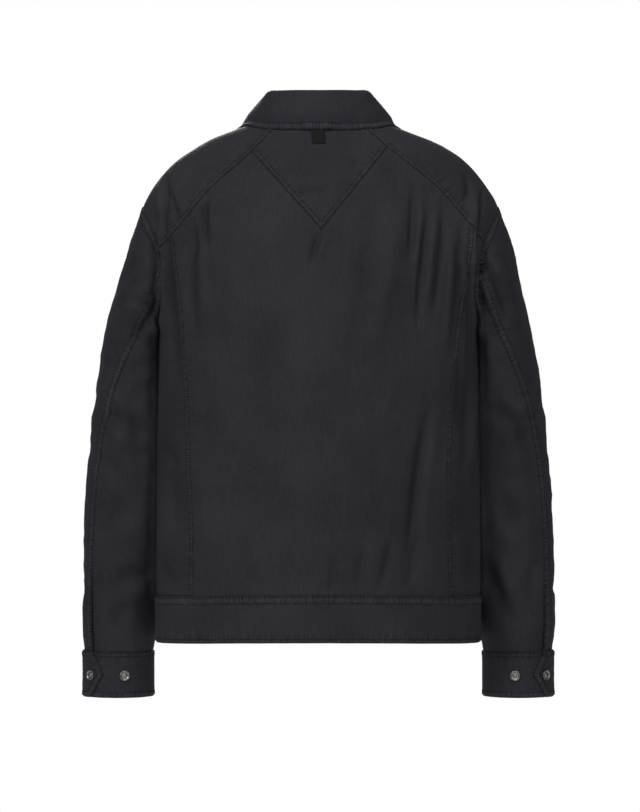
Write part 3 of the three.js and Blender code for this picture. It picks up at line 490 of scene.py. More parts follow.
# How near sewn rims lie before and after draping, and how far a hem lies from the rest of its rim
SEWN_REACH = 4.5 * MM
DRAPED_REACH = 7 * MM
HEM_CLEAR = 9 * MM


def rim_verts(mesh):
    """The net and its rim, as a bmesh and the rim's vertices."""
    net = bmesh.new()
    net.from_mesh(mesh)
    return net, [v for v in net.verts if v.is_boundary]


def tree_of(spots):
    """A search tree of places, each under its number."""
    tree = KDTree(len(spots))
    for i, spot in enumerate(spots):
        tree.insert(spot, i)
    tree.balance()
    return tree


def rim_tree(name):
    """A search tree of the rim of a skin, at its points and between them."""
    net, rim = rim_verts(skins[name].data)
    spots = [v.co.copy() for v in rim]
    for v in rim:
        for e in v.link_edges:
            if e.is_boundary:
                spots.append((e.verts[0].co + e.verts[1].co) / 2)
    net.free()
    return tree_of(spots)


def rim_lines(name, wanted):
    """Lines along the rim of a skin through the points that wanted() keeps."""
    net, rim = rim_verts(skins[name].data)
    kept = [v for v in rim if wanted(v.co)]
    inside = set(kept)
    links = {}
    for v in kept:
        links[v] = [e.other_vert(v) for e in v.link_edges if e.is_boundary and e.other_vert(v) in inside]
    lines, used = [], set()
    starts = [v for v in kept if len(links[v]) == 1] + [v for v in kept if len(links[v]) == 2]
    for start in starts:
        if start in used or not links[start]:
            continue
        line, here, before = [start], start, None
        used.add(start)
        while True:
            onward = [v for v in links[here] if v is not before and v not in used]
            if not onward:
                break
            before, here = here, onward[0]
            used.add(here)
            line.append(here)
        if len(line) > 2:
            lines.append([v.co.copy() for v in line])
    net.free()
    return lines


def chains_of(name, wanted):
    """The lines of rim_lines(), split at corners, without the shortest."""
    parts = []
    for line in rim_lines(name, wanted):
        part = [line[0]]
        for i in range(1, len(line) - 1):
            part.append(line[i])
            a, b = line[i] - line[max(i - 2, 0)], line[min(i + 2, len(line) - 1)] - line[i]
            if min(a.length, b.length) > SHORTEST_EDGE and a.angle(b) > SEAM_CORNER and len(part) > 3:
                parts.append(part)
                part = [line[i]]
        part.append(line[-1])
        if len(part) > 2:
            parts.append(part)
    return [p for p in parts if sum((b - a).length for a, b in zip(p, p[1:])) > SHORTEST_SEAM]


def soften(values):
    """Each row but the first and last becomes the mean of itself and its neighbours."""
    values[1:-1] = 0.25 * values[:-2] + 0.5 * values[1:-1] + 0.25 * values[2:]


def resample(chain, step):
    """The chain as evenly spaced points, and how far along it each lies."""
    points = np.array([tuple(p) for p in chain])
    for _ in range(2):
        soften(points)
    gap = np.linalg.norm(np.diff(points, axis=0), axis=1)
    along = np.r_[0, np.cumsum(gap)]
    count = max(int(round(along[-1] / step)), 3)
    at = np.linspace(0, along[-1], count + 1)
    return np.array([np.interp(at, along, points[:, k]) for k in range(3)]).T, at


def near_any(trees, reach):
    """Whether a point is within reach of any of the trees."""
    return lambda point: any(tree.find(point)[2] < reach for tree in trees)


def family_of(name):
    """Pieces of one family share their folds: the body, the sleeves, or a piece by itself."""
    return "body" if name.startswith(BODY_PIECES) else "sleeve" if name.startswith(SLEEVE_PIECES) else name


def find_seams(reach):
    """Every seam and hem as (piece, between families or not, chain, width, rows, rise, pucker).

    Sewn rims lie within reach of each other.
    """
    trees = {name: rim_tree(name) for name in skins}
    found = []
    for name, others, *sizes in SEAMS:
        near = near_any([trees[o] for o in others], reach)
        meets = family_of(name) != family_of(others[0])
        found += [(name, meets, chain, *sizes) for chain in chains_of(name, near)]
    for name, others, *sizes in HEMS:
        near = near_any([trees[o] for o in others], HEM_CLEAR)
        found += [(name, False, chain, *sizes) for chain in chains_of(name, lambda point: not near(point))]
    return found


seams = find_seams(SEWN_REACH)


# ---------------------------------------------------------------- finer nets by the seams, and the folds

# How far apart the seams' points are, and how far apart in its pattern each seam starts after the one before
FIELD_STEP = 1.5 * MM
SEAM_OFFSET = 3.7
# How far from a seam the net is halved once and twice, and how wide a fold may be and still be halved for
FINE_REACH = 10 * MM
FINEST_REACH = 4.4 * MM
FINE_FOLD = 6
# How much deeper than the table the folds are, which share of a fold's length each end takes to fade, and how
# squarely the cloth faces the view where a fold starts and where it has its whole rise
FOLD_SCALE = 1.9
FOLD_END = 0.35
FOLD_FACING = (0.1, 0.5)
# The pulls of the back fade between these, from front to back, in metres
PULLED_HALF = (-10 * MM, 20 * MM)


def seam_field(lines):
    """A tree of the seams' points, and for each: its place, how far along it lies, how far its puckers reach,
    the piece that carries it, how far they rise, and whether families meet there."""
    rows = []
    for number, (name, meets, chain, _, _, rise, pucker) in enumerate(lines):
        for point, s in zip(*resample(chain, FIELD_STEP)):
            rows.append((Vector(point), s + SEAM_OFFSET * number, pucker * MM, name, rise, meets))
    return tree_of([row[0] for row in rows]), rows


seam_tree, seam_rows = seam_field(seams)


def belongs(name, touches):
    """Whether a piece is one of those named, with or without its side."""
    return any(name.startswith(t) for t in touches)


def folds_of(name):
    """The folds that shape a piece: across axis, facing axis, sign, half width, rise and line in metres."""
    for view, touches, folds in FOLDS:
        if belongs(name, touches):
            across, facing, sign = VIEW_AXES[view]
            sign = sign or (1.0 if name.endswith("left") else -1.0)
            for half, rise, line in folds:
                yield across, facing, sign, half, rise, np.array(line) * MM


def gap_to_line(spots, corners):
    """How far each spot is from a line through corners, and how far along it, from 0 to 1."""
    nearest, share = np.full(len(spots), 1e9), np.zeros(len(spots))
    length = np.linalg.norm(np.diff(corners, axis=0), axis=1)
    start = np.r_[0, np.cumsum(length)]
    for i in range(len(corners) - 1):
        step = corners[i + 1] - corners[i]
        t = np.clip(((spots - corners[i]) @ step) / (step @ step), 0, 1)
        gap = np.linalg.norm(spots - corners[i] - t[:, None] * step, axis=1)
        closer = gap < nearest
        nearest[closer] = gap[closer]
        share[closer] = ((start[i] + t * length[i]) / start[-1])[closer]
    return nearest, share


def halve_faces(obj, reach, folds=()):
    """Halves the faces that lie within reach of a seam or across a narrow fold."""
    net = bmesh.new()
    net.from_mesh(obj.data)
    net.faces.ensure_lookup_table()
    middles = np.array([tuple(f.calc_center_median()) for f in net.faces])
    normals = np.array([tuple(f.normal) for f in net.faces])
    near = np.array([seam_tree.find(m)[2] < reach for m in middles])
    for across, facing, sign, half, _, corners in folds:
        if half <= FINE_FOLD:
            gap, _ = gap_to_line(middles[:, [across, 2]], corners)
            near |= (gap < (1.5 * half + 2) * MM) & (sign * normals[:, facing] > FOLD_FACING[0])
    wanted = {e for i in np.flatnonzero(near) for e in net.faces[i].edges}
    edges = [e for e in net.edges if e in wanted]
    bmesh.ops.subdivide_edges(net, edges=edges, cuts=1, use_grid_fill=True, smooth=0.0)
    bmesh.ops.triangulate(net, faces=[f for f in net.faces if len(f.verts) > 4])
    net.normal_update()
    net.to_mesh(obj.data)
    net.free()


def fold_rise(name, points, normals):
    """How far each point is moved out by the folds of the table, in metres."""
    total = np.zeros(len(points))
    for across, facing, sign, half, rise, corners in folds_of(name):
        face = smooth_step(*FOLD_FACING, sign * normals[:, facing])
        gap, share = gap_to_line(points[:, [across, 2]], corners)
        end = np.minimum(smooth_step(0, FOLD_END, share), smooth_step(0, FOLD_END, 1 - share)) ** 0.7
        total += rise * MM * face * end * np.exp(-(gap / (half * MM)) ** 2) * FOLD_SCALE
    return total


def pull_of(name, points):
    """How far each point of the back is moved by the pulls, in metres."""
    total = np.zeros((len(points), 3))
    for touches, middle, way, reach in PULLS:
        if belongs(name, touches):
            off = (points[:, [0, 2]] - np.array(middle) * MM) / (np.array(reach) * MM)
            weight = np.exp(-(off ** 2).sum(1)) * smooth_step(*PULLED_HALF, points[:, 1])
            total[:, [0, 2]] += weight[:, None] * np.array(way) * MM
    return total


def soft_noise(point, size, seed):
    """Smooth noise whose lumps have this size along x, y and z."""
    return noise.noise(Vector((point.x / size[0] + seed, point.y / size[1], point.z / size[2])))


def surface_of(name):
    """A search tree of the faces of a skin, as it is now."""
    mesh = skins[name].data
    faces = [tuple(p.vertices) for p in mesh.polygons]
    return BVHTree.FromPolygons([v.co.copy() for v in mesh.vertices], faces)


# Sleeves rest on the body below this height where they are this near to it, and stay this clear of it
RESTS_BELOW = -0.252
REST_REACH = 12 * MM
REST_GAP = 0.6 * MM


def rest_on_body(name, points, normals):
    """How far each point of a sleeve moves out so that it rests against the side of the body, in metres."""
    side = name.rsplit("_", 1)[1]
    move = np.zeros(len(points))
    for body in ("back_side_" + side, "front_" + side):
        surface = surface_of(body)
        for i in np.flatnonzero(points[:, 2] < RESTS_BELOW):
            point = Vector(points[i])
            spot, _, _, gap = surface.find_nearest(point, REST_REACH)
            if spot is not None and (spot - point).dot(Vector(normals[i])) > 0:
                near = float(smooth_step(REST_REACH, 0.5 * REST_REACH, gap))
                move[i] = max(move[i], (gap - REST_GAP) * near)
    return move


# The collar's fall is laid on what is this near below it, clear of it by its own wall, some air and the neck
# tab, whose half width fades between these. It is laid from its edge in, to where it is free.
LAY_REACH = 12 * MM
FALL_WALL = 1.5 * MM
FALL_AIR = 0.3 * MM
TAB_ROOM = 1.7 * MM
TAB_HALF = (24 * MM, 13 * MM)
LAID_EDGE = (18 * MM, 2 * MM)
UNDER_FALL = ("back_yoke", "shoulder_yoke_left", "shoulder_yoke_right", "front_left", "front_right")


def rest_on_shoulders(points):
    """The moves that lay the edge of the collar's fall on the shoulders, clear of the tab, in metres."""
    stand = rim_tree("collar_stand")
    net, rim = rim_verts(skins["collar_fall"].data)
    edge = tree_of([v.co.copy() for v in rim if stand.find(v.co)[2] > HEM_CLEAR])
    net.free()
    under = [surface_of(name) for name in UNDER_FALL]
    moves = np.zeros((len(points), 3))
    for i, p in enumerate(points):
        point = Vector(p)
        hits = [surface.find_nearest(point, LAY_REACH) for surface in under]
        hits = [hit for hit in hits if hit[0] is not None]
        if hits:
            spot, _, _, gap = min(hits, key=lambda hit: hit[3])
            by_tab = float(smooth_step(*TAB_HALF, abs(point.x))) * (point.y > 0)
            room = FALL_WALL + FALL_AIR + TAB_ROOM * by_tab
            near_edge = float(smooth_step(*LAID_EDGE, edge.find(point)[2]))
            moves[i] = (spot - point).normalized() * max(gap - room, 0.0) * near_edge
    return moves


# Small creases: the size of their lumps in metres and their height in mm, round the arm on the sleeves and
# lengthwise on the body. On them lie finer ones, of this share in size.
SLEEVE_CREASES = (0.045, 0.045, 0.027), 2.6
BODY_CREASES = (0.030, 0.030, 0.085), 0.7
FINER_CREASES = 0.55
CREASE_SHARPNESS = 2.4
# Slack: how loosely the sleeves, the body and doubled pieces hang, and the lumps of its two sizes, each as
# height in mm, size in metres and seed
SLEEVE_SLACK = 1.9
BODY_SLACK = 1.3
DOUBLED_SLACK = 0.35
SLACK_LUMPS = [(1.1, (0.07, 0.07, 0.13), 3.1), (0.5, (0.028, 0.028, 0.05), 9.4)]
# The slack starts and is whole this far from a seam, and so are folds where the body meets the sleeves
SLACK_FADE = (3 * MM, 24 * MM)
MEETING_FADE = (0.5 * MM, 9 * MM)
# Puckers: the lengths of their two waves in metres, how far they rise for a seam's rise, and their share in
# height and in texture, bump and painted light and shade, beyond the piece that carries the seam
PUCKER_WAVES = (0.0065, 0.0036)
PUCKER_RISE = 1.5
PUCKER_BEYOND = 0.3
TEXTURE_BEYOND = 0.35
# The edge beside a band sinks this far, over this reach
SUNK_EDGE = 0.4 * MM
SUNK_REACH = 2.2 * MM
# Painted light and shade, and wear: how much lighter the cloth is painted on the ridge of a fold and darker
# in its hollow for each mm of the fold between these, how much lighter it is rubbed by a seam within this
# reach, and how much lighter and darker it is painted on a pucker's crests and troughs
FOLD_PAINTED_LIGHT_SHADE = 0.042
FOLD_PAINTED_RANGE = (-12, 8)
SEAM_RUBBED = 0.12
SEAM_RUBBED_REACH = 5 * MM
RIPPLE_PAINTED_LIGHT_SHADE = 0.14
# An edge of the net that spans more of a seam's pattern than this many times its own length has none
TORN_PATTERN = 3


def crease_at(name, point):
    """The height of the sharp small creases, in mm."""
    size, height = SLEEVE_CREASES if name.startswith(SLEEVE_PIECES) else BODY_CREASES
    fine = tuple(FINER_CREASES * k for k in size)
    ridge = 1 - CREASE_SHARPNESS * abs(soft_noise(point, size, 21.0))
    return height * (ridge + 0.5 * (1 - CREASE_SHARPNESS * abs(soft_noise(point, fine, 35.0))))


def slack_of(name):
    """How loosely a piece hangs: the sleeves most, doubled pieces least."""
    if name.startswith(SLEEVE_PIECES):
        return SLEEVE_SLACK
    return BODY_SLACK if name.startswith(BODY_PIECES) else DOUBLED_SLACK


def loose_rise(name, point, facing):
    """How far the slack and the small creases of a piece lift a point, in mm."""
    looseness = slack_of(name)
    slack = sum(height * soft_noise(point, size, seed) for height, size, seed in SLACK_LUMPS)
    creases = crease_at(name, point) * (0.3 + 0.7 * abs(facing)) if looseness > 1 else 0.0
    return slack * looseness + creases


def two_waves(s, lengths, rows):
    """Noise along a seam, as a wave and a finer one of half its height, each read in a row of its own."""
    (first, second), (a, b) = lengths, rows
    return noise.noise(Vector((s / first, 5.5, a))) + 0.5 * noise.noise(Vector((s / second, 2.5, b)))


def drape(name, obj):
    """Gives the skin its folds, its slack and the puckers of its seams, with painted light and shade on folds
    and puckers and wear by the seams.
    """
    mesh = obj.data
    points, normals = points_of(mesh), normals_of(mesh)
    rise = fold_rise(name, points, normals)
    # Painted light on the ridges of folds and painted shade in their hollows, for each mm of rise
    hollow = FOLD_PAINTED_LIGHT_SHADE * np.clip(rise / MM, *FOLD_PAINTED_RANGE)
    rest = rest_on_body(name, points, normals) if name.startswith(SLEEVE_PIECES) else np.zeros(len(points))
    shade, along, gaps, weight = (np.zeros(len(points), np.float32) for _ in range(4))
    for i, p in enumerate(points):
        point = Vector(p)
        _, index, gap = seam_tree.find(point)
        _, s, reach, carrier, seam_rise, meets = seam_rows[index]
        beyond = carrier != name
        if meets:
            rise[i] *= smooth_step(*MEETING_FADE, gap)
        rise[i] += loose_rise(name, point, normals[i][1]) * smooth_step(*SLACK_FADE, gap) * MM
        fade = math.exp(-(gap / reach) ** 2)
        ripple = 0.0
        if gap < 2.2 * reach:
            ripple = two_waves(s, PUCKER_WAVES, (1.0, 7.0)) * fade * (PUCKER_BEYOND if beyond else 1.0)
            rise[i] += PUCKER_RISE * seam_rise * MM * ripple * min(1.0, 0.25 + gap / (3 * MM))
            if beyond:
                rise[i] -= SUNK_EDGE * math.exp(-(gap / SUNK_REACH) ** 2)
        along[i], gaps[i] = s, gap
        weight[i] = fade * (TEXTURE_BEYOND if beyond else 1.0)
        # Wear lightens the cloth by a seam, and painted light and shade follow the puckers' crests and
        # troughs
        rubbed = SEAM_RUBBED * math.exp(-(gap / SEAM_RUBBED_REACH) ** 2)
        shade[i] = hollow[i] + rubbed + RIPPLE_PAINTED_LIGHT_SHADE * ripple
    for edge in mesh.edges:
        a, b = edge.vertices
        if abs(along[a] - along[b]) > TORN_PATTERN * np.linalg.norm(points[a] - points[b]):
            weight[a] = weight[b] = 0.0
    moves = normals * (rise + rest)[:, None] + pull_of(name, points)
    if name == "collar_fall":
        moves += rest_on_shoulders(points)
    points += moves
    mesh.vertices.foreach_set("co", points.ravel())
    for title, values in (("shade", shade), ("seam_along", along), ("seam_gap", gaps), ("pucker", weight)):
        mesh.attributes.new(title, "FLOAT", "POINT").data.foreach_set("value", values)
    mesh.update()


for node_name, *_ in CLOTH:
    if node_name != "neck_tab":
        halve_faces(skins[node_name], FINE_REACH, list(folds_of(node_name)))
        if slack_of(node_name) > 1:
            halve_faces(skins[node_name], FINEST_REACH)
        drape(node_name, skins[node_name])

seams = find_seams(DRAPED_REACH)


# ---------------------------------------------------------------- felled seam bands and stitching

surfaces = {name: surface_of(name) for name in skins}
SEAM_STEP = 1.9 * MM
STITCH_PITCH = 3.4 * MM
THREAD_RADIUS = 0.26 * MM
# Pieces whose bands are the folded edge of their neighbour, lapped over them: the seam shows at the far edge
LAPPED = ("back_side_left", "back_side_right")
# Painted shade and wear on a band: each kind of edge, darkened by painted shade at a seam's slot, a soft edge
# and a pressed fold and lighter by wear at a hem; the ridges between its rows and its crests, lighter by wear
# and painted light; and the rows themselves, darkened by painted shade in their grooves
EDGE_PAINTED_SHADE_AND_WEAR = {"seam": -0.55, "hem": 0.15, "soft": -0.1, "pressed": -0.5}
RIDGE_WEAR_AND_PAINTED_LIGHT = 0.15
CREST_WEAR_AND_PAINTED_LIGHT = 0.4
ROW_PAINTED_SHADE = -0.7
# What each point of a band carries, and how strong the pucker and felled marks are on it
BAND_MARKS = ("shade", "seam_along", "seam_gap", "pucker", "felled")
BAND_PUCKER = 0.7
BAND_FELLED = 1.0
# The lengths of the two waves that ripple a band, in metres
BAND_WAVES = (0.0046, 0.0023)


def band_profile(width, rows, rise, edges):
    """Across a felled band: offsets and heights in mm, and tones of painted shade, painted light and wear.
    Its rows sink in between soft ridges.
    """
    near, far = (EDGE_PAINTED_SHADE_AND_WEAR[edge] for edge in edges)
    # A lip that closes the slot at the seam, and the near edge
    spots = [(-1.9, -1.5, near), (-0.45, -0.7, near)]
    spots += [(-0.3, 0.35 * rise, near), (0.25, 0.85 * rise, RIDGE_WEAR_AND_PAINTED_LIGHT)]
    for row in rows:
        spots += [(row - 0.75, rise, RIDGE_WEAR_AND_PAINTED_LIGHT), (row - 0.25, 0.3 * rise, ROW_PAINTED_SHADE)]
        spots += [(row + 0.25, 0.3 * rise, ROW_PAINTED_SHADE), (row + 0.75, rise, RIDGE_WEAR_AND_PAINTED_LIGHT)]
    for crest in (width * 0.38, width * 0.58):
        if min(abs(crest - row) for row in rows) > 1.0:
            spots.append((crest, 1.05 * rise, CREST_WEAR_AND_PAINTED_LIGHT))
    spots += [(width - 0.15, 0.5 * rise, far), (width + 0.15, -0.6, far)]
    spots.sort()
    kept = [spots[0]]
    for spot in spots[1:]:
        if spot[0] - kept[-1][0] > 0.1:
            kept.append(spot)
    return kept


class Band:
    """Where a felled band runs: its points, the ways ahead, out and into the piece, and what it lies on."""

    def __init__(self, name, chain):
        self.points, self.along = resample(chain, SEAM_STEP)
        self.surface = surfaces[name]
        self.ahead = np.gradient(self.points, axis=0)
        self.ahead /= np.linalg.norm(self.ahead, axis=1)[:, None]
        self.out = np.array([self.surface.find_nearest(Vector(point))[1] for point in self.points])
        self.into = np.cross(self.out, self.ahead)
        for _ in range(6):
            soften(self.out)
            soften(self.into)
        self.into /= np.linalg.norm(self.into, axis=1)[:, None]
        if self.leads_away():
            self.into = -self.into

    def leads_away(self):
        """Whether most of the steps into the piece leave its surface."""
        votes = 0
        count = len(self.points)
        for i in range(0, count, max(count // 12, 1)):
            step = Vector(self.into[i]) * 3 * MM
            inner = self.surface.find_nearest(Vector(self.points[i]) + step)[3]
            outer = self.surface.find_nearest(Vector(self.points[i]) - step)[3]
            votes += 1 if inner < outer else -1
        return votes < 0

    def place(self, i, offset, height):
        """The spot at an offset into the piece from point i, raised off the cloth, in metres."""
        aim = Vector(self.points[i] + self.into[i] * offset)
        if offset < 0:
            return aim + Vector(self.out[i]) * height
        spot, normal, _, _ = self.surface.find_nearest(aim)
        lift = Vector(self.out[i]) * 0.6 + normal * 0.4
        return spot + lift.normalized() * height


def add_band(net, band, width, rows, rise, edges, start):
    """A felled band as a closed strip, with its own cloth layout, shade and place along the seam."""
    profile = band_profile(width, rows, rise, edges)
    # The strip closes under the band through a hidden point darkened by painted shade
    section = profile + [(width * 0.5, -0.8, -0.6)]
    marks = [net.verts.layers.float[title] for title in BAND_MARKS]
    rings = []
    count = len(band.points)
    for i in range(count):
        s = band.along[i] + start
        ripple = two_waves(s, BAND_WAVES, (2.0, 6.0))
        fade = min(1.0, i / 3, (count - 1 - i) / 3)
        ring = []
        for k, (offset, height, tone) in enumerate(section):
            waved = ripple if 3 <= k < len(profile) - 2 else 0.0
            if height > 0:
                height = (height + 0.4 * waved * rise) * (0.25 + 0.75 * fade)
            vert = net.verts.new(band.place(i, offset * MM, height * MM))
            # Painted light and shade: the band is lighter where its ripple lifts it and darker where it sinks
            for mark, value in zip(marks, (tone + 0.3 * waved, s, offset * MM, BAND_PUCKER, BAND_FELLED)):
                vert[mark] = value
            ring.append(vert)
        rings.append(ring)
    flat = net.loops.layers.uv["cloth"]
    across = [offset * MM for offset, _, _ in section]
    for i, (a, b) in enumerate(zip(rings, rings[1:])):
        for k in range(len(section)):
            n = (k + 1) % len(section)
            face = net.faces.new((a[k], a[n], b[n], b[k]))
            corners = (across[k], i), (across[n], i), (across[n], i + 1), (across[k], i + 1)
            for loop, (u, v) in zip(face.loops, corners):
                loop[flat].uv = (u, v * SEAM_STEP)
    net.faces.new(rings[0][::-1])
    net.faces.new(rings[-1])


# A stitch along +X, for a length of 1: its rings as place and radius, their sides, and its two sunk ends
STITCH_RINGS = ((-0.38, 0.7), (0.0, 1.0), (0.38, 0.7))
STITCH_SIDES = 4
STITCH_ENDS = (-0.5, 0, -0.6), (0.5, 0, -0.6)
# How much of its pitch a stitch spans, and how far it lies off the band in mm
STITCH_SPAN = 0.86
STITCH_LIFT = 0.12


def stitch_shape():
    """One stitch of thread, as points and faces: a bar tapered at both ends."""
    points = [STITCH_ENDS[0]]
    for x, radius in STITCH_RINGS:
        for k in range(STITCH_SIDES):
            turn = 2 * math.pi * k / STITCH_SIDES
            points.append((x, radius * math.cos(turn), radius * math.sin(turn)))
    points.append(STITCH_ENDS[1])
    last = 1 + (len(STITCH_RINGS) - 1) * STITCH_SIDES
    faces = []
    for k in range(STITCH_SIDES):
        n = (k + 1) % STITCH_SIDES
        faces.append((0, 1 + n, 1 + k))
        for a in range(1, last, STITCH_SIDES):
            faces.append((a + k, a + n, a + STITCH_SIDES + n, a + STITCH_SIDES + k))
        faces.append((last + k, last + n, len(points) - 1))
    return points, faces


STITCH_POINTS, STITCH_FACES = stitch_shape()


def add_stitches(net, band, width, rows, rise, edges):
    """The rows of stitches along a band."""
    offsets, heights, _ = zip(*band_profile(width, rows, rise, edges))
    length = band.along[-1]
    count = int(length / STITCH_PITCH)
    for row in rows:
        level = np.interp(row, offsets, heights)
        for n in range(count):
            s = (n + 0.5) * STITCH_PITCH
            if s > length - STITCH_PITCH / 2:
                continue
            nearest = int(np.interp(s, band.along, np.arange(len(band.along))) + 0.5)
            i = min(max(nearest, 1), len(band.points) - 2)
            centre = band.place(i, row * MM, (level + STITCH_LIFT) * MM)
            x = Vector(band.ahead[i]).normalized()
            z = Vector(band.out[i]).normalized()
            y = z.cross(x).normalized()
            z = x.cross(y)
            verts = []
            for px, py, pz in STITCH_POINTS:
                spot = centre + x * (px * STITCH_PITCH * STITCH_SPAN) + (y * py + z * pz) * THREAD_RADIUS
                verts.append(net.verts.new(spot))
            for face in STITCH_FACES:
                net.faces.new([verts[k] for k in face])


def edges_of(name, rows):
    """The kinds of a band's near and far edge."""
    if len(rows) == 1:
        return "hem", "pressed"
    return ("soft", "seam") if name in LAPPED else ("seam", "soft")


bands, threads = {}, {}
for number, (name, _, chain, width, rows, rise, _) in enumerate(seams):
    if name not in bands:
        bands[name], threads[name] = bmesh.new(), bmesh.new()
        bands[name].loops.layers.uv.new("cloth")
        for title in BAND_MARKS:
            bands[name].verts.layers.float.new(title)
    band = Band(name, chain)
    edges = edges_of(name, rows)
    add_band(bands[name], band, width, rows, rise, edges, SEAM_OFFSET * number)
    add_stitches(threads[name], band, width, rows, rise, edges)

added = {}
for name in bands:
    for kind, net in (("_seam_bands", bands[name]), ("_stitching", threads[name])):
        bmesh.ops.recalc_face_normals(net, faces=net.faces)
        mesh = bpy.data.meshes.new(name + kind)
        net.to_mesh(mesh)
        net.free()
        piece = link(name + kind, mesh)
        only(piece)
        bpy.ops.object.shade_smooth()
        added.setdefault(name, []).append(piece)


# ---------------------------------------------------------------- walls

SHARP_EDGE = math.radians(55)
for node_name, wall, _, rounding in CLOTH:
    skin = skins[node_name]
    apply_modifier(skin, "SOLIDIFY", thickness=wall * MM, offset=-1.0, use_even_offset=False, use_rim=True,
                   use_quality_normals=True)
    if rounding:
        apply_modifier(skin, "BEVEL", width=rounding * MM, segments=2, limit_method="ANGLE",
                       angle_limit=SHARP_EDGE, use_clamp_overlap=True)
    only(skin)
    bpy.ops.object.shade_smooth_by_angle(angle=SHARP_EDGE)


# ---------------------------------------------------------------- snaps

# The cap of a snap from its middle out, as radius and height in mm: a domed centre in a dished ring with a
# rolled edge
SNAP_PROFILE = [
    (0, 2.15), (0.9, 2.1), (1.7, 1.9), (2.3, 1.5), (2.7, 1.05), (3.1, 0.85), (3.9, 0.95), (4.7, 1.35),
    (5.3, 1.9), (5.75, 2.2), (6.15, 2.25), (6.45, 2.0), (6.55, 1.5), (6.4, 0.9), (6.0, 0.4), (5.6, -0.1),
]
SNAP_STEPS = 40
SNAP_SHARP = math.radians(50)
SNAPS = [name for name in NODES if "snap" in name or "stud" in name]


def snap_place(name):
    """The middle of a snap's foot on the cloth, and the way it faces."""
    points = points_of(NODES[name].data)
    middle = (points.min(0) + points.max(0)) / 2
    spread = points - points.mean(0)
    way = Vector(np.linalg.svd(spread, full_matrices=False)[2][2])
    if way.dot(Vector(middle) - inside_of(name, Vector(middle))) < 0:
        way = -way
    low = (spread @ np.array(way)).min()
    return Vector(points.mean(0)) + way * low, way.normalized()


def make_snap():
    """One snap about +Z, spun from its profile."""
    snap = link("snap_pattern", bpy.data.meshes.new("snap_pattern"))
    only(snap)
    net = bmesh.new()
    line = [net.verts.new((r * MM, 0, z * MM)) for r, z in SNAP_PROFILE]
    for a, b in zip(line, line[1:]):
        net.edges.new((a, b))
    net.to_mesh(snap.data)
    net.free()
    bpy.ops.object.mode_set(mode="EDIT")
    bpy.ops.mesh.select_all(action="SELECT")
    bpy.ops.mesh.spin(steps=SNAP_STEPS, angle=2 * math.pi, center=(0, 0, 0), axis=(0, 0, 1))
    bpy.ops.mesh.select_all(action="SELECT")
    bpy.ops.mesh.remove_doubles(threshold=0.01 * MM)
    bpy.ops.mesh.fill_holes(sides=0)
    bpy.ops.mesh.normals_make_consistent(inside=False)
    bpy.ops.object.mode_set(mode="OBJECT")
    bpy.ops.object.shade_smooth_by_angle(angle=SNAP_SHARP)
    return snap


pattern_snap = make_snap()
snap_pieces = {}
for name in SNAPS:
    foot, way = snap_place(name)
    mesh = pattern_snap.data.copy()
    mesh.transform(Matrix.Translation(foot) @ way.to_track_quat("Z", "Y").to_matrix().to_4x4())
    snap_pieces[name] = link(name + "_cap", mesh)
bpy.data.objects.remove(pattern_snap)


# ---------------------------------------------------------------- finishes

def new_material(name):
    """An empty material with one shader, as the material, its tree and the shader."""
    material = bpy.data.materials.new(name)
    material.use_nodes = True
    tree = material.node_tree
    tree.nodes.clear()
    shader = tree.nodes.new("ShaderNodeBsdfPrincipled")
    output = tree.nodes.new("ShaderNodeOutputMaterial")
    tree.links.new(shader.outputs["BSDF"], output.inputs["Surface"])
    return material, tree, shader


def add(tree, kind, values=None, **settings):
    """A new node, with these values on its inputs and these settings."""
    node = tree.nodes.new(kind)
    for key, value in settings.items():
        setattr(node, key, value)
    for key, value in (values or {}).items():
        node.inputs[key].default_value = value
    return node


# How far apart the ticks across a felled band are, and how strongly puckers, ticks and shade tone it: the
# puckers and ticks are painted light on their crests and painted shade in their troughs
TICK_PITCH = 2.9 * MM
PULL_PAINTED_LIGHT_SHADE = 1.7
RUNG_PAINTED_LIGHT_SHADE = 0.6
SHADE_GAIN = 0.7
DARKEST = 0.12
# The shares of the broad, fine and slubby mottling, and where the two colours lie in it
BROAD_SHARE = 0.36
FINE_SHARE = 0.42
SLUB_SHARE = 0.22
COLOUR_STOPS = (0.36, 0.64)


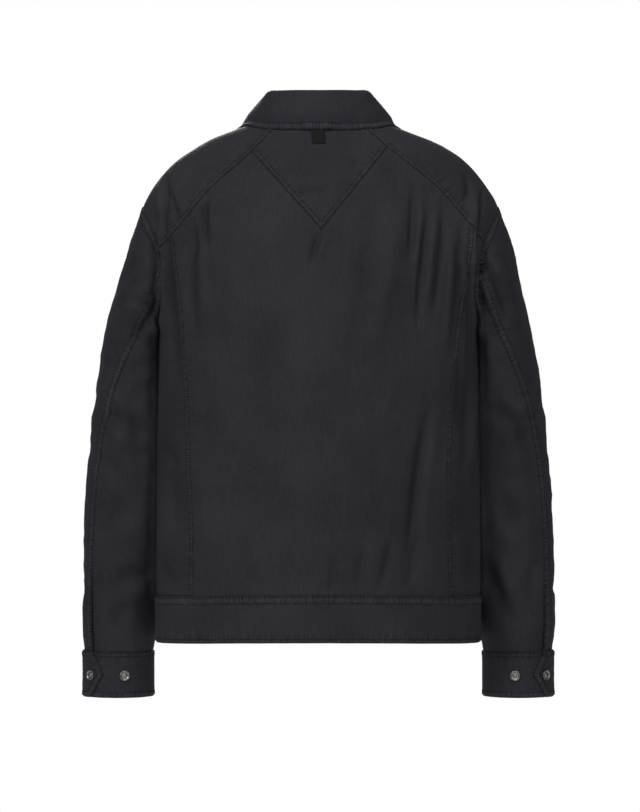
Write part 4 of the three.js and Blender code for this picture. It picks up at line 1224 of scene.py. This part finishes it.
def cloth_finish(name, dark, light, weave_size, rough=(0.66, 0.8), crumple=0.5):
    """A close plain weave with slubby threads, soft crumple, and puckers and ticks by the seams, with painted
    light on their crests and painted shade in their troughs.
    """
    material, tree, shader = new_material(name)

    def math_node(operation, *inputs):
        node = tree.nodes.new("ShaderNodeMath")
        node.operation = operation
        for socket, value in zip(node.inputs, inputs):
            if isinstance(value, (int, float)):
                socket.default_value = value
            else:
                tree.links.new(value, socket)
        return node.outputs[0]

    def texture(kind, vector, values, out="Fac", **settings):
        node = add(tree, kind, values, **settings)
        tree.links.new(vector, node.inputs["Vector"])
        return node.outputs[out]

    def mark(title):
        return add(tree, "ShaderNodeAttribute", attribute_name=title).outputs["Fac"]

    place = tree.nodes.new("ShaderNodeTexCoord").outputs["Object"]
    flat = add(tree, "ShaderNodeUVMap", uv_map="cloth").outputs["UV"]
    broad = texture("ShaderNodeTexNoise", place, {"Scale": 11.0, "Detail": 4.0, "Roughness": 0.55})
    fine = texture("ShaderNodeTexNoise", place, {"Scale": 560.0, "Detail": 3.0, "Roughness": 0.75})
    stretch = add(tree, "ShaderNodeMapping", {"Scale": (1.0, 0.07, 1.0)})
    tree.links.new(flat, stretch.inputs["Vector"])
    slub = texture("ShaderNodeTexNoise", stretch.outputs["Vector"],
                   {"Scale": 640.0, "Detail": 2.0, "Roughness": 0.6})

    # Puckers run square to the seam, so their pattern is read along it
    gap = mark("seam_gap")
    lane = add(tree, "ShaderNodeCombineXYZ")
    along = mark("seam_along")
    tree.links.new(along, lane.inputs["X"])
    tree.links.new(math_node("MULTIPLY", gap, 0.16), lane.inputs["Y"])
    pull = texture("ShaderNodeTexNoise", lane.outputs["Vector"],
                   {"Scale": 230.0, "Detail": 2.0, "Roughness": 0.55}, noise_dimensions="2D")
    phase = math_node("MULTIPLY_ADD", along, 2 * math.pi / TICK_PITCH, math_node("MULTIPLY", pull, 7.0))
    rung = math_node("MULTIPLY", math_node("SINE", phase), mark("felled"))
    pull = math_node("MULTIPLY", math_node("SUBTRACT", pull, 0.5), mark("pucker"))

    blend = math_node("MULTIPLY_ADD", fine, FINE_SHARE, math_node("MULTIPLY", slub, SLUB_SHARE))
    blend = math_node("MULTIPLY_ADD", broad, BROAD_SHARE, blend)
    ramp = tree.nodes.new("ShaderNodeValToRGB")
    for stop, position, colour in zip(ramp.color_ramp.elements, COLOUR_STOPS, (dark, light)):
        stop.position, stop.color = position, (*colour, 1)
    tree.links.new(blend, ramp.inputs["Fac"])
    # Painted light and shade: the ticks and puckers lighten the cloth on their crests and darken it in their
    # troughs, on top of the shade mark
    tone = math_node("MULTIPLY_ADD", rung, RUNG_PAINTED_LIGHT_SHADE, mark("shade"))
    tone = math_node("MULTIPLY_ADD", pull, PULL_PAINTED_LIGHT_SHADE, tone)
    gain = math_node("MAXIMUM", math_node("MULTIPLY_ADD", tone, SHADE_GAIN, 1.0), DARKEST)
    tinted = add(tree, "ShaderNodeMix", data_type="RGBA", blend_type="MULTIPLY")
    tinted.inputs["Factor"].default_value = 1.0
    colours = [s for s in tinted.inputs if s.type == "RGBA"]
    tree.links.new(ramp.outputs["Color"], colours[0])
    tree.links.new(gain, colours[1])
    tree.links.new([s for s in tinted.outputs if s.type == "RGBA"][0], shader.inputs["Base Color"])
    roughness = math_node("MULTIPLY_ADD", broad, rough[1] - rough[0], rough[0])
    tree.links.new(roughness, shader.inputs["Roughness"])

    weave = math_node("ADD", *(
        texture("ShaderNodeTexWave", flat, {"Scale": 1 / weave_size / 2, "Distortion": 0.6, "Detail": 1.0},
                wave_type="BANDS", bands_direction=way) for way in "XY"))
    creases = texture("ShaderNodeTexNoise", place, {"Scale": 62.0, "Detail": 4.0, "Roughness": 0.58})
    normal = None
    for height, strength, distance in (
        (creases, crumple, 0.0009),
        (math_node("MULTIPLY_ADD", rung, 0.15, pull), 1.0, 0.0019),
        (math_node("MULTIPLY_ADD", slub, 0.8, fine), 0.4, 0.00022),
        (weave, 0.35, 0.00012),
    ):
        bump = add(tree, "ShaderNodeBump", {"Strength": strength, "Distance": distance})
        tree.links.new(height, bump.inputs["Height"])
        if normal:
            tree.links.new(normal, bump.inputs["Normal"])
        normal = bump.outputs["Normal"]
    tree.links.new(normal, shader.inputs["Normal"])
    shader.inputs["Specular IOR Level"].default_value = 0.1
    shader.inputs["Sheen Weight"].default_value = 0.02
    shader.inputs["Sheen Roughness"].default_value = 0.45
    shader.inputs["Sheen Tint"].default_value = (0.85, 0.86, 1.0, 1)
    return material


def thread_finish():
    """Cotton-wrapped thread, dark with an olive cast, twisted."""
    material, tree, shader = new_material("tonal_thread")
    join = tree.links.new
    place = add(tree, "ShaderNodeTexCoord")
    twist = add(tree, "ShaderNodeTexNoise", {"Scale": 1500.0, "Detail": 2.0})
    join(place.outputs["Object"], twist.inputs["Vector"])
    ramp = add(tree, "ShaderNodeValToRGB")
    ramp.color_ramp.elements[0].color = (0.0075, 0.0078, 0.0070, 1)
    ramp.color_ramp.elements[1].color = (0.0150, 0.0155, 0.0140, 1)
    join(twist.outputs["Fac"], ramp.inputs["Fac"])
    join(ramp.outputs["Color"], shader.inputs["Base Color"])
    bump = add(tree, "ShaderNodeBump", {"Strength": 0.5, "Distance": 0.00008})
    join(twist.outputs["Fac"], bump.inputs["Height"])
    join(bump.outputs["Normal"], shader.inputs["Normal"])
    shader.inputs["Roughness"].default_value = 0.62
    shader.inputs["Specular IOR Level"].default_value = 0.35
    return material


def pewter_finish():
    """Dark pewter, cast and tumbled: fine pits and a mottled tone."""
    material, tree, shader = new_material("dark_pewter")
    join = tree.links.new
    place = add(tree, "ShaderNodeTexCoord")
    cloud = add(tree, "ShaderNodeTexNoise", {"Scale": 420.0, "Detail": 5.0, "Roughness": 0.65})
    join(place.outputs["Object"], cloud.inputs["Vector"])
    ramp = add(tree, "ShaderNodeValToRGB")
    ramp.color_ramp.elements[0].position, ramp.color_ramp.elements[1].position = 0.35, 0.7
    ramp.color_ramp.elements[0].color = (0.10, 0.096, 0.092, 1)
    ramp.color_ramp.elements[1].color = (0.30, 0.29, 0.275, 1)
    join(cloud.outputs["Fac"], ramp.inputs["Fac"])
    join(ramp.outputs["Color"], shader.inputs["Base Color"])
    rough_map = add(tree, "ShaderNodeMapRange", {"To Min": 0.3, "To Max": 0.48})
    join(cloud.outputs["Fac"], rough_map.inputs["Value"])
    join(rough_map.outputs["Result"], shader.inputs["Roughness"])
    bump = add(tree, "ShaderNodeBump", {"Strength": 0.25, "Distance": 0.00015})
    join(cloud.outputs["Fac"], bump.inputs["Height"])
    join(bump.outputs["Normal"], shader.inputs["Normal"])
    shader.inputs["Metallic"].default_value = 1.0
    return material


poplin = cloth_finish("washed_poplin", (0.0122, 0.0117, 0.0154), (0.0262, 0.0250, 0.0310), 0.48 * MM)
tape = cloth_finish("black_woven_tape", (0.0022, 0.0022, 0.0026), (0.0042, 0.0042, 0.0048), 0.7 * MM,
                    rough=(0.5, 0.6), crumple=0.1)
thread = thread_finish()
pewter = pewter_finish()


def dress(piece, material):
    """Gives a piece its material and slot, and lets it ride the jacket's one body."""
    piece.data.materials.clear()
    piece.data.materials.append(material)
    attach(piece, "root")


for node_name, *_ in CLOTH:
    skin = skins[node_name]
    tab = node_name == "neck_tab"
    dress(skin, tape if tab else poplin)
    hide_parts(node_name)
    for piece in added.get(node_name, []):
        dress(piece, poplin if "bands" in piece.name else thread)
    width, length, area = cuts[node_name]
for name, piece in snap_pieces.items():
    dress(piece, pewter)
    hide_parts(name)


# ---------------------------------------------------------------- studio

ROOM_LIGHT = 0.22
LIGHTS = [
    # name, place, aim, size, power
    ("back_left_softbox", (2.3, 3.1, 1.5), (0, 0, -0.35), (1.0, 1.2), 70),
    ("back_right_softbox", (-1.9, 3.3, 1.2), (0, 0, -0.35), (1.2, 1.4), 34),
    ("back_centre_softbox", (0.3, 4.6, 0.5), (0, 0, -0.35), (1.0, 1.0), 38),
    ("overhead_softbox", (0.0, 1.0, 2.2), (0, 0, -0.3), (1.8, 1.0), 27),
    ("front_high_softbox", (0.4, -3.8, 1.3), (0, 0, -0.35), (1.0, 1.0), 105),
    ("front_low_softbox", (-0.4, -4.2, -0.2), (0, 0, -0.35), (0.8, 0.9), 55),
]


def add_studio():
    """A pale floor under the jacket, a white room that lights it softly, and large soft lights."""
    bpy.ops.mesh.primitive_plane_add(size=3.0, location=(0, 0, -1.15))
    floor = bpy.context.active_object
    floor.name = "studio_floor"
    material, _, shader = new_material("pale_floor")
    shader.inputs["Base Color"].default_value = (0.86, 0.86, 0.86, 1)
    shader.inputs["Roughness"].default_value = 0.8
    floor.data.materials.append(material)
    world = bpy.data.worlds.new("white_room")
    bpy.context.scene.world = world
    world.use_nodes = True
    tree = world.node_tree
    seen = tree.nodes["Background"]
    seen.inputs["Color"].default_value = (1, 1, 1, 1)
    seen.inputs["Strength"].default_value = 1.0
    felt = add(tree, "ShaderNodeBackground", {"Color": (0.97, 0.98, 1, 1), "Strength": ROOM_LIGHT})
    path = add(tree, "ShaderNodeLightPath")
    pick = add(tree, "ShaderNodeMixShader")
    tree.links.new(path.outputs["Is Camera Ray"], pick.inputs[0])
    tree.links.new(felt.outputs[0], pick.inputs[1])
    tree.links.new(seen.outputs[0], pick.inputs[2])
    tree.links.new(pick.outputs[0], tree.nodes["World Output"].inputs["Surface"])
    for name, place, aim, size, power in LIGHTS:
        data = bpy.data.lights.new(name, "AREA")
        data.shape = "RECTANGLE"
        data.size, data.size_y, data.energy = size[0], size[1], power
        light = bpy.data.objects.new(name, data)
        light.location = place
        light.rotation_euler = (Vector(aim) - Vector(place)).to_track_quat("-Z", "Y").to_euler()
        bpy.context.scene.collection.objects.link(light)


# The camera: how far behind the jacket it stands, the height that it takes in there, its sensor's height in
# mm, and the x and z that it stands at
CAMERA_DISTANCE = 4.8
CAMERA_VIEW = 1.045
SENSOR = 36
CAMERA_AIM = (-0.0022, -0.3616)


def add_camera():
    """A long lens straight behind the jacket, level with the middle of the back."""
    data = bpy.data.cameras.new("camera")
    data.lens = SENSOR * CAMERA_DISTANCE / CAMERA_VIEW
    camera = bpy.data.objects.new("camera", data)
    camera.location = (CAMERA_AIM[0], CAMERA_DISTANCE, CAMERA_AIM[1])
    camera.rotation_euler = (math.radians(90), 0, math.radians(180))
    bpy.context.scene.collection.objects.link(camera)
    bpy.context.scene.camera = camera


add_studio()
add_camera()
bpy.context.scene.view_settings.view_transform = "Standard"
